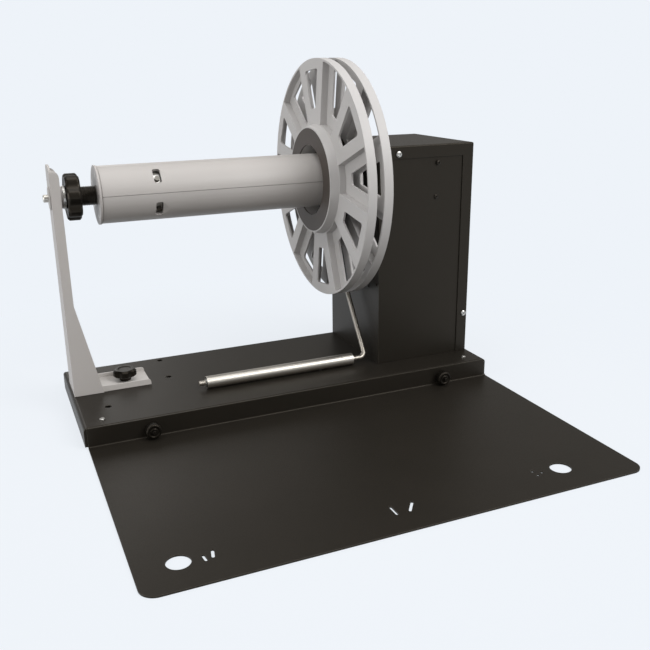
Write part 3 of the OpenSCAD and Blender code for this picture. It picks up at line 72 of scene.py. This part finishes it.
def add_camera():
    """Camera whose axes are worked out from yaw, pitch and roll."""
    forward = Vector((math.sin(YAW) * math.cos(PITCH),
                      math.cos(YAW) * math.cos(PITCH), -math.sin(PITCH)))
    level = Vector((math.cos(YAW), -math.sin(YAW), 0))
    raised = level.cross(forward)
    right = level * math.cos(ROLL) + raised * math.sin(ROLL)
    up = raised * math.cos(ROLL) - level * math.sin(ROLL)
    data = bpy.data.cameras.new("camera")
    data.sensor_width = SENSOR
    data.lens = SENSOR * FOCAL_PIXELS / FRAME_PIXELS
    data.clip_start, data.clip_end = NEAREST, FURTHEST
    obj = bpy.data.objects.new("camera", data)
    turn = Matrix((right, up, -forward)).transposed().to_4x4()
    obj.matrix_world = Matrix.Translation(CAMERA_PLACE) @ turn
    bpy.context.scene.collection.objects.link(obj)
    bpy.context.scene.camera = obj


# Materials

def linear(hex_colour):
    """An sRGB hex colour as linear RGBA."""
    parts = [int(hex_colour[i:i + 2], 16) / 255 for i in (1, 3, 5)]
    return [c / 12.92 if c <= 0.04045 else ((c + 0.055) / 1.055) ** 2.4 for c in parts] + [1]


def add(tree, kind, inputs=None, **settings):
    """Adds one shader node. Inputs are given by name or number, as values or sockets."""
    made = tree.nodes.new("ShaderNode" + kind)
    for name, value in settings.items():
        setattr(made, name, value)
    for name, value in (inputs or {}).items():
        if isinstance(value, bpy.types.NodeSocket):
            tree.links.new(value, made.inputs[name])
        else:
            made.inputs[name].default_value = value
    return made


def start(name):
    """A new material's tree, with object coordinates in metres and its output."""
    material = bpy.data.materials.new(name)
    material.use_nodes = True
    tree = material.node_tree
    tree.nodes.clear()
    place = add(tree, "TexCoord").outputs["Object"]
    return material, tree, place


def finish(tree, surface):
    """Joins a surface to its material's output."""
    add(tree, "OutputMaterial", {"Surface": surface})


def noise(tree, place, size_mm, detail=2.0, rough=0.5):
    """Noise whose patches are about size_mm across."""
    return add(tree, "TexNoise", {"Vector": place, "Scale": 1 / (size_mm * MM),
                                  "Detail": detail, "Roughness": rough}).outputs["Fac"]


def spread(tree, value, low, high):
    """Maps the middle of a noise, 0.3 to 0.7, to low and high."""
    return add(tree, "MapRange", {"Value": value, "From Min": 0.3, "From Max": 0.7,
                                  "To Min": low, "To Max": high}).outputs["Result"]


def rounded(tree, radius_mm):
    """Normals rounded over near every edge, and how near an edge a point is, 0 to 1."""
    bevel = add(tree, "Bevel", {"Radius": radius_mm * MM}, samples=8)
    flat = add(tree, "NewGeometry").outputs["Normal"]
    along = add(tree, "VectorMath", {0: bevel.outputs["Normal"], 1: flat},
                operation="DOT_PRODUCT")
    near = add(tree, "MapRange", {"Value": along.outputs["Value"], "From Min": 0.985,
                                  "From Max": 0.8, "To Min": 0.0, "To Max": 1.0})
    return bevel.outputs["Normal"], near.outputs["Result"]


def coated(name, colour, second, grain_mm, bump_mm, rough, patch_mm, specular=0.5,
           edge_highlight_colour="#000000", edge_highlight_share=0.0, edge_mm=0.5, sheen="#ffffff"):
    """Coated or moulded surface: two near colours in soft patches, a fine bumpy grain,
    roughness that wanders a little with the grain, and softened edges with a painted
    highlight, a paler colour mixed in near them. Sheen tints the reflections."""
    material, tree, place = start(name)
    patches = noise(tree, place, patch_mm, 3.0)
    grain = noise(tree, place, grain_mm, 2.0)
    mix = add(tree, "MixRGB", {"Fac": patches, "Color1": linear(colour),
                               "Color2": linear(second)})
    normal, near = rounded(tree, edge_mm)
    # Painted highlight: near the edges the colour turns towards the paler edge colour.
    share = add(tree, "Math", {0: near, 1: edge_highlight_share}, operation="MULTIPLY")
    edge_highlighted = add(tree, "MixRGB", {"Fac": share.outputs["Value"],
                                "Color1": mix.outputs["Color"], "Color2": linear(edge_highlight_colour)})
    bump = add(tree, "Bump", {"Height": grain, "Strength": 1.0, "Distance": bump_mm * MM,
                              "Normal": normal})
    surface = add(tree, "BsdfPrincipled", {
        "Base Color": edge_highlighted.outputs["Color"], "Roughness": spread(tree, grain, *rough),
        "Specular IOR Level": specular, "Specular Tint": linear(sheen),
        "Normal": bump.outputs["Normal"]})
    finish(tree, surface.outputs["BSDF"])
    return material


METAL_EDGE_MM = 0.3


def metal(name, colour, second, rough, streak_mm, bump_mm, stretch):
    """Bare metal: machining or drawing marks as noise stretched along one axis."""
    material, tree, place = start(name)
    drawn = add(tree, "Mapping", {"Vector": place, "Scale": stretch})
    marks = noise(tree, drawn.outputs["Vector"], streak_mm, 3.0, 0.6)
    mix = add(tree, "MixRGB", {"Fac": marks, "Color1": linear(colour),
                               "Color2": linear(second)})
    bump = add(tree, "Bump", {"Height": marks, "Strength": 1.0, "Distance": bump_mm * MM,
                              "Normal": rounded(tree, METAL_EDGE_MM)[0]})
    surface = add(tree, "BsdfPrincipled", {
        "Base Color": mix.outputs["Color"], "Metallic": 1.0,
        "Roughness": spread(tree, marks, *rough), "Normal": bump.outputs["Normal"]})
    finish(tree, surface.outputs["BSDF"])
    return material


# Black powder coat on sheet steel: a fine sandy texture that scatters a brownish sheen, and a
# painted highlight, paler, on the folds. Its grain is drawn a little coarser than it is, to
# show.
black_coat = coated("black_powder_coat", "#1a1814", "#201d19", 1.1, 0.07, (0.36, 0.5), 60,
                    0.3, "#68645b", 0.45, 0.9, sheen="#fff2e0")
# Light grey powder coat on the support and the chuck: smooth satin with orange peel.
grey_coat = coated("grey_powder_coat", "#b7b3b0", "#bcb8b5", 2.2, 0.012, (0.38, 0.48), 90,
                   0.4)
# The same powder coat on the foot channel, painted paler: painted light from above.
grey_coat_painted_paler = coated("grey_powder_coat_painted_paler", "#c4c0bc", "#c9c5c1", 2.2, 0.012,
                   (0.36, 0.46), 90, 0.45)
# Moulded grey ABS of the side flange: pale grey with a faint mould grain.
grey_moulding = coated("moulded_grey_abs", "#c3c1c0", "#c9c7c6", 1.4, 0.015, (0.42, 0.52),
                       80, 0.4)
# Ring in the side flange's boss: smooth brownish grey plastic.
dark_ring = coated("dark_grey_ring", "#48413c", "#4e4742", 1.0, 0.02, (0.5, 0.6), 40, 0.35)
# Moulded nylon of the knobs, the nuts and the inlet: satin, near black, with a paler colour
# near its edges as a painted highlight.
black_plastic = coated("moulded_black_nylon", "#0d0c0a", "#12100d", 0.9, 0.015, (0.3, 0.4),
                       30, 0.3, "#3a3835", 0.3, sheen="#fff0dc")
# Rubber feet: dull black with a fine grain.
foot_rubber = coated("black_rubber", "#141414", "#1b1b1b", 0.8, 0.03, (0.7, 0.85), 20, 0.3)
# Black oxide on small steel pieces, such as screws, studs and the arm's collar: dark,
# slightly glossy.
black_oxide = coated("black_oxide_steel", "#0e0d0c", "#141210", 0.7, 0.01, (0.3, 0.42), 10,
                     0.35, sheen="#fff0dc")
# Circuit board laminate: green lacquer over glass cloth.
board_green = coated("green_board_lacquer", "#1f5a38", "#24643f", 0.8, 0.01, (0.3, 0.4), 15,
                     0.5)
# Zinc plated steel: bright, cool, a little cloudy.
zinc = metal("zinc_plated_steel", "#c9c8c4", "#b9b8b5", (0.26, 0.4), 3.0, 0.004, (1, 1, 1))
# Drawn steel: bright, with fine lines along the spindle's direction.
drawn_steel = metal("drawn_steel", "#cfccc6", "#c2bfb9", (0.28, 0.4), 1.0, 0.003,
                    (0.05, 1, 1))
# Satin nickel on the bent rod: warmer and duller than the drawn steel.
satin_rod = metal("satin_nickel_rod", "#b3ada4", "#a39e96", (0.36, 0.5), 1.2, 0.003,
                  (1, 1, 1))
# Drawn aluminium tube of the roller: pale, with lines along its length.
roller_skin = metal("drawn_aluminium_tube", "#c7c3bb", "#bab6af", (0.34, 0.46), 1.0, 0.003,
                    (0.05, 1, 1))
# Turned aluminium: pale, with soft rings from the cutting tool.
turned_aluminium = metal("turned_aluminium", "#d2d1cd", "#c6c5c1", (0.3, 0.42), 0.8, 0.005,
                         (1, 0.3, 0.3))
# Posts in the chuck's windows: steel painted dark as painted shade, with a small bright
# highlight.
posts_painted_dark = metal("steel_painted_as_window_shade", "#7d7a75", "#6b6863", (0.26, 0.38), 0.8, 0.004,
                   (1, 1, 1))
# Sintered bronze of the plain bush: brown gold and slightly porous.
bronze = metal("sintered_bronze", "#a9803f", "#8f6c38", (0.4, 0.55), 0.6, 0.01, (1, 1, 1))

FINISHES = {
    "black_powder_coat": black_coat,
    "grey_powder_coat": grey_coat,
    "grey_coated_aluminium": grey_coat,
    "grey_moulded": grey_moulding,
    "dark_pad": dark_ring,
    "black_plastic": black_plastic,
    "rubber": foot_rubber,
    "black_oxide": black_oxide,
    "board_green": board_green,
    "bright_zinc": zinc,
    "polished_steel": drawn_steel,
    "machined_aluminium": turned_aluminium,
    "bronze": bronze,
}


def dress(name, material):
    """Gives a solid its finish on every one of its material slots."""
    slots = nodes[name].material_slots
    for slot in slots:
        slot.material = material
    if not slots:
        nodes[name].data.materials.append(material)


# Pieces whose finish differs from the rest of their slot
OWN_FINISHES = {
    "tension_rod": satin_rod,
    "roller_tube": roller_skin,
    # The foot channel's paler coat is a painted highlight.
    "support_foot": grey_coat_painted_paler,
    # The posts' dark steel is painted shade.
    "guide_posts": posts_painted_dark,
    "plate_studs": black_oxide,
}


def dress_all():
    """Gives every solid its own finish, or else its slot's."""
    for part in frame["record"]["subparts"]:
        name = part["node"]
        dress(name, OWN_FINISHES.get(name, FINISHES[part["material_slot"]]))


# Knobs and nuts, in millimetres, each an outline carried round an axis

def softened(corners, radius, steps=4):
    """Outline with rounded corners. Near a corner it runs through
    (1 - u)^2 before + 2 u (1 - u) corner + u^2 after, for u from 0 to 1, where before and
    after lie on the corner's two sides, a radius away or just short of half a side."""
    corners = np.asarray(corners, float)
    u = np.linspace(0, 1, steps + 1)[None, :, None]

    def reach(sides):
        length = np.linalg.norm(sides, axis=1, keepdims=True)
        return (corners + sides * np.minimum(radius / length, 0.45))[:, None]

    before = reach(np.roll(corners, 1, axis=0) - corners)
    after = reach(np.roll(corners, -1, axis=0) - corners)
    arcs = (1 - u) ** 2 * before + 2 * u * (1 - u) * corners[:, None] + u ** 2 * after
    return arcs.reshape(-1, 2)


def denser(outline, step):
    """The same outline with more points, so that none is further than step along it from
    the next one."""
    far = np.linalg.norm(np.diff(outline, axis=0), axis=1)
    along = np.concatenate([[0], np.cumsum(far)])
    places = np.union1d(along, np.arange(0, along[-1], step))
    return np.stack([np.interp(places, along, outline[:, i]) for i in (0, 1)], axis=1)


def hollows(angle, count, first, half_width):
    """1 in the middle of each of count hollows round the axis, 0 on the lobes: with t the
    angle from the nearest hollow's middle over its half width, (1 - t^2)^1.5. The middle
    of one hollow lies at first; angles in degrees."""
    pitch = 360 / count
    off = (np.degrees(angle) - first + pitch / 2) % pitch - pitch / 2
    return np.clip(1 - (off / half_width) ** 2, 0, None) ** 1.5


def carried_round(name, outline, origin, axis, start_side, dip, turns, poles=False):
    """Surface of an outline carried round an axis. An outline point stands z along the
    axis and r from it, and at angle a its radius is r (1 - dip(z, r, a)). A ring's outline
    closes on itself; with poles its two ends close on the axis."""
    axis, side = np.asarray(axis, float), np.asarray(start_side, float)
    z, r = outline.T
    angle = np.linspace(0, 2 * math.pi, turns, endpoint=False)
    radius = r[:, None] * (1 - dip(z[:, None], r[:, None], angle[None, :]))
    out = (np.cos(angle)[:, None] * side + np.sin(angle)[:, None] * np.cross(axis, side))
    points = (np.asarray(origin, float) + z[:, None, None] * axis
              + radius[..., None] * out[None]).reshape(-1, 3)
    here = np.arange(len(z) * turns).reshape(len(z), turns)
    ahead = np.roll(here, -1, axis=0)
    quads = np.stack([here, np.roll(here, -1, axis=1), np.roll(ahead, -1, axis=1), ahead], -1)
    quads = (quads[:-1] if poles else quads).reshape(-1, 4)
    halves = np.concatenate([quads[:, [0, 1, 2]], quads[:, [0, 2, 3]]])
    fans = np.empty((0, 3), int)
    if poles:
        ends = np.asarray(origin, float) + z[[0, -1], None] * axis
        low, high = len(points), len(points) + 1
        points = np.concatenate([points, ends])
        first, last = here[0], here[-1]
        fans = np.concatenate([
            np.stack([np.full(turns, low), np.roll(first, -1), first], -1),
            np.stack([np.full(turns, high), last, np.roll(last, -1)], -1)])
    corner = points[np.concatenate([halves, fans])]
    volume = np.sum(corner[:, 0] * np.cross(corner[:, 1], corner[:, 2])) / 6
    if volume < 0:
        quads, fans = quads[:, ::-1], fans[:, ::-1]
    mesh = bpy.data.meshes.new(name)
    mesh.from_pydata((points * MM).tolist(), [], quads.tolist() + fans.tolist())
    mesh.polygons.foreach_set("use_smooth", np.ones(len(mesh.polygons), bool))
    mesh.update()
    obj = bpy.data.objects.new(name, mesh)
    bpy.context.scene.collection.objects.link(obj)
    return obj


def stands_for(obj, body, node):
    """Makes a piece of black nylon that moves with its body and hides the solid that it
    replaces."""
    obj.data.materials.append(black_plastic)
    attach(obj, body)
    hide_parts(node)


def rise(value, low, high):
    """0 up to low, 1 from high, and straight between them."""
    return np.clip((value - low) / (high - low), 0, 1)


# How far the hollows of a lobed head go in, as a share of its radius
HOLLOW_DEPTH = 0.15

# Expansion knob: a lobed head, dished on both faces, and a ribbed stem. Its front, reach
# and bore are its solid's, and its head ends KNOB_HEAD from the front. The angle of one
# lobe's crest, in degrees, is counted from the front upwards.
KNOB_FRONT = -267.95
SPINDLE_Y, SPINDLE_Z = 149.25, 291.6
KNOB_HEAD, KNOB_REACH = 18.0, 38.2
KNOB_R, KNOB_STEM_R, KNOB_BORE_R = 30.5, 12.5, 9.0
KNOB_BEVEL, KNOB_FACE_R = 2.4, 28
KNOB_DISH, KNOB_DISH_BACK = 1.1, 1.2
KNOB_LOBES, KNOB_CREST, KNOB_HOLLOW_HALF = 7, 62, 18.5
KNOB_HUB_R = 15
STEM_PITCH, STEM_GROOVE, STEM_PLAIN = 2.17, 0.55, 0.3


def add_expansion_knob():
    """The stem's grooves take STEM_GROOVE sin^2(pi z / pitch) off its radius, and the
    head's hollows fade towards the hub as the square of the radius."""
    dish_end = KNOB_HEAD - KNOB_DISH_BACK
    corners = [(0, KNOB_BORE_R), (0, 13), (KNOB_DISH, 15), (KNOB_DISH, 23.5), (0, 26),
               (0, KNOB_FACE_R), (KNOB_BEVEL, KNOB_R), (KNOB_HEAD - KNOB_BEVEL, KNOB_R),
               (KNOB_HEAD, KNOB_FACE_R), (KNOB_HEAD, 25), (dish_end, 22), (dish_end, 15.5),
               (KNOB_HEAD, KNOB_STEM_R), (KNOB_REACH, KNOB_STEM_R),
               (KNOB_REACH, KNOB_BORE_R)]
    outline = denser(softened(corners, 1.0), 0.36)
    z, r = outline.T
    on_stem = ((z > KNOB_HEAD + STEM_PLAIN) & (z < KNOB_REACH - STEM_PLAIN)
               & (r > KNOB_BORE_R + 2))
    wave = np.sin(np.pi * (z - KNOB_HEAD) / STEM_PITCH) ** 2
    outline[:, 1] = r - np.where(on_stem, STEM_GROOVE * wave, 0)
    # The surface's angle runs downwards from the front
    middle = -KNOB_CREST - 180 / KNOB_LOBES

    def dip(z, r, angle):
        share = np.where(z <= KNOB_HEAD, rise(r, KNOB_HUB_R, KNOB_R) ** 2, 0)
        return HOLLOW_DEPTH * share * hollows(angle, KNOB_LOBES, middle, KNOB_HOLLOW_HALF)

    obj = carried_round("expansion_knob_shaped", outline, (KNOB_FRONT, SPINDLE_Y, SPINDLE_Z),
                        (1, 0, 0), (0, -1, 0), dip, 196)
    stands_for(obj, "knob", "expansion_knob")


# Clamp knob: a lobed head on a neck, with its stud going down to the nut. Its heights are
# its solid's, counted from the table, and one hollow lies at CLAMP_HOLLOW degrees.
CLAMP_X, CLAMP_Y = -213.75, 149.25
CLAMP_FOOT, CLAMP_NECK, CLAMP_HEAD, CLAMP_TOP = 18.2, 30.6, 36.6, 47.1
CLAMP_R, CLAMP_NECK_R, CLAMP_STUD_R = 16.0, 8.0, 3.0
CLAMP_FACE_R, CLAMP_RECESS_R, CLAMP_RECESS = 13.6, 8.4, 0.9
CLAMP_LOBES, CLAMP_HOLLOW, CLAMP_HOLLOW_HALF = 5, 10, 24
POLE_R = 0.3


def add_clamp_knob():
    """The head's hollows fade towards the neck as the square of the radius."""
    floor_z = CLAMP_TOP - CLAMP_RECESS
    corners = [(CLAMP_FOOT, POLE_R), (CLAMP_FOOT, CLAMP_STUD_R), (CLAMP_NECK, CLAMP_STUD_R),
               (CLAMP_NECK, CLAMP_NECK_R), (CLAMP_HEAD, CLAMP_NECK_R), (CLAMP_HEAD, 14.2),
               (CLAMP_HEAD + 1.8, CLAMP_R), (CLAMP_TOP - 2.2, CLAMP_R),
               (CLAMP_TOP, CLAMP_FACE_R), (CLAMP_TOP, CLAMP_RECESS_R + 1.1),
               (floor_z, CLAMP_RECESS_R), (floor_z, POLE_R)]
    steps = 4
    bends = softened(corners, 0.9, steps)[steps + 1:-steps - 1]
    outline = np.concatenate([corners[:1], denser(bends, 0.8), corners[-1:]])

    def dip(z, r, angle):
        share = np.where(z >= CLAMP_HEAD - 0.1, rise(r, CLAMP_NECK_R, CLAMP_R) ** 2, 0)
        return (HOLLOW_DEPTH * share
                * hollows(angle, CLAMP_LOBES, CLAMP_HOLLOW, CLAMP_HOLLOW_HALF))

    obj = carried_round("clamp_knob_shaped", outline, (CLAMP_X, CLAMP_Y, 0),
                        (0, 0, 1), (1, 0, 0), dip, 150, poles=True)
    stands_for(obj, "clamp", "clamp_knob")


# Thumb nuts: a knurled head on a short neck, bored for the stud, with a groove in its face
THUMB_NECK, THUMB_REACH = 3.0, 13.0
THUMB_R, THUMB_NECK_R, THUMB_BORE_R = 10.0, 6.6, 2.55
GROOVE_OUT, GROOVE_IN, GROOVE_DEPTH = 7.0, 3.8, 0.7
KNURL_RIBS, KNURL_DEPTH, KNURL_IN = 30, 0.05, 7.5
TURNS_PER_RIB = 8


def add_thumb_nut(side):
    """The knurl takes KNURL_DEPTH (0.5 - 0.5 cos(ribs a)) of the radius off the rim."""
    groove = THUMB_REACH - GROOVE_DEPTH
    corners = [(0, THUMB_BORE_R), (0, THUMB_NECK_R), (THUMB_NECK, THUMB_NECK_R),
               (THUMB_NECK, 8.8), (THUMB_NECK + 1.2, THUMB_R), (THUMB_REACH - 1.4, THUMB_R),
               (THUMB_REACH, 8.4), (THUMB_REACH, GROOVE_OUT), (groove, GROOVE_OUT - 0.8),
               (groove, GROOVE_IN + 0.8), (THUMB_REACH, GROOVE_IN),
               (THUMB_REACH, THUMB_BORE_R)]
    outline = denser(softened(corners, 0.6), 0.7)
    low, high = np.array(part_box("thumb_nut_" + side)) / MM
    x, _, z_axis = (low + high) / 2

    def dip(z, r, angle):
        share = np.where(z >= THUMB_NECK - 0.1, rise(r, KNURL_IN, THUMB_R), 0)
        return KNURL_DEPTH * share * (0.5 - 0.5 * np.cos(KNURL_RIBS * angle))

    obj = carried_round("thumb_nut_" + side + "_knurled", outline, (x, high[1], z_axis),
                        (0, -1, 0), (1, 0, 0), dip, KNURL_RIBS * TURNS_PER_RIB)
    stands_for(obj, "thumb_" + side, "thumb_nut_" + side)


def add_shaped_pieces():
    """The knobs and nuts."""
    add_expansion_knob()
    add_clamp_knob()
    add_thumb_nut("left")
    add_thumb_nut("right")


# Studio

BACKDROP = "#eef3f9"

# The tray's footprint, inside which the floor is seen only through the tray's holes
TRAY_X = (-281.0, 288.0)
TRAY_Y = (20.0, 219.0)

# Floor: half its side, how far below the feet it lies, its own colours, and the distances
# from the machine's middle, in metres, between which it brightens to the backdrop's colour
FLOOR_HALF = 12.0
FLOOR_GAP = 0.4
FLOOR_COLOUR, FLOOR_BOUNCE = "#e9ebee", "#8f8f8f"
FADE_NEAR, FADE_FAR = 0.3, 0.75
FADE_START = 0.84

# Surroundings' colour and strength, where the machine is lit by them
ROOM_COLOUR, ROOM_STRENGTH = "#faf7f3", 0.4


def between(tree, value, low_mm, high_mm):
    """1 where a coordinate lies between two places, else 0."""
    after = add(tree, "Math", {0: value, 1: low_mm * MM}, operation="GREATER_THAN")
    before = add(tree, "Math", {0: value, 1: high_mm * MM}, operation="LESS_THAN")
    return add(tree, "Math", {0: after.outputs["Value"], 1: before.outputs["Value"]},
               operation="MULTIPLY").outputs["Value"]


def add_floor():
    """Pale floor that the camera sees in the backdrop's colour, a little darker where
    the machine shades it, and unlit under the tray."""
    half = FLOOR_HALF
    mesh = bpy.data.meshes.new("floor")
    mesh.from_pydata([(-half, -half, 0), (half, -half, 0), (half, half, 0), (-half, half, 0)],
                     [], [(0, 1, 2, 3)])
    obj = bpy.data.objects.new("floor", mesh)
    obj.location.z = -FLOOR_GAP * MM
    bpy.context.scene.collection.objects.link(obj)
    material, tree, place = start("floor")
    path = add(tree, "LightPath")
    seen = add(tree, "Math", {0: path.outputs["Is Camera Ray"],
                              1: path.outputs["Is Glossy Ray"]}, operation="MAXIMUM")
    diffuse = add(tree, "BsdfDiffuse", {"Color": linear(FLOOR_COLOUR)})
    bounce = add(tree, "BsdfDiffuse", {"Color": linear(FLOOR_BOUNCE)})
    glow = add(tree, "Emission", {"Color": linear(BACKDROP), "Strength": 1.0})
    axes = add(tree, "SeparateXYZ", {"Vector": place})
    under = add(tree, "Math", {0: between(tree, axes.outputs["X"], *TRAY_X),
                               1: between(tree, axes.outputs["Y"], *TRAY_Y)},
                operation="MULTIPLY")
    far = add(tree, "VectorMath", {0: place}, operation="LENGTH")
    fade = add(tree, "MapRange", {"Value": far.outputs["Value"], "From Min": FADE_NEAR,
                                  "From Max": FADE_FAR, "To Min": FADE_START,
                                  "To Max": 1.0})
    open_floor = add(tree, "Math", {0: 1.0, 1: under.outputs["Value"]}, operation="SUBTRACT")
    share = add(tree, "Math", {0: fade.outputs["Result"], 1: open_floor.outputs["Value"]},
                operation="MULTIPLY")
    even = add(tree, "MixShader", {0: share.outputs["Value"], 1: diffuse.outputs["BSDF"],
                                   2: glow.outputs[0]})
    both = add(tree, "MixShader", {0: seen.outputs["Value"], 1: bounce.outputs["BSDF"],
                                   2: even.outputs["Shader"]})
    finish(tree, both.outputs["Shader"])
    mesh.materials.append(material)


def add_world():
    """Even white surroundings that light the machine, seen in the backdrop's colour."""
    world = bpy.data.worlds.new("studio")
    world.use_nodes = True
    tree = world.node_tree
    tree.nodes.clear()
    path = add(tree, "LightPath")
    seen = add(tree, "Math", {0: path.outputs["Is Camera Ray"],
                              1: path.outputs["Is Transmission Ray"]}, operation="MAXIMUM")
    room = add(tree, "Background", {"Color": linear(ROOM_COLOUR), "Strength": ROOM_STRENGTH})
    backdrop = add(tree, "Background", {"Color": linear(BACKDROP), "Strength": 1.0})
    both = add(tree, "MixShader", {0: seen.outputs["Value"], 1: room.outputs[0],
                                   2: backdrop.outputs[0]})
    add(tree, "OutputWorld", {"Surface": both.outputs["Shader"]})
    bpy.context.scene.world = world


def add_lamp(name, place, aim, size, power):
    """Soft square lamp that faces a point."""
    data = bpy.data.lights.new(name, "AREA")
    data.shape, data.size, data.energy = "SQUARE", size, power
    obj = bpy.data.objects.new(name, data)
    direction = (Vector(aim) - Vector(place)).normalized()
    obj.matrix_world = (Matrix.Translation(place)
                        @ direction.to_track_quat("-Z", "Y").to_matrix().to_4x4())
    obj.visible_camera = False
    bpy.context.scene.collection.objects.link(obj)


# Name, place, point it faces, side, all in metres, and power in watts
LAMPS = [
    ("key_lamp", (1.5, -2.1, 2.2), (0, 0, 0.15), 1.6, 58),
    ("side_lamp", (-2.6, -0.3, 0.5), (0, 0, 0.2), 1.6, 27),
    ("back_lamp", (-0.4, 2.6, 1.3), (-0.1, 0, 0.1), 1.4, 7),
    ("top_lamp", (-0.2, -0.2, 2.7), (0, 0, 0.1), 2.4, 36),
]


def add_studio():
    """Floor, surroundings and lamps, seen without a film look."""
    add_floor()
    add_world()
    for lamp in LAMPS:
        add_lamp(*lamp)
    bpy.context.scene.view_settings.view_transform = "Standard"


# Scene

add_camera()
dress_all()
add_shaped_pieces()
add_studio()
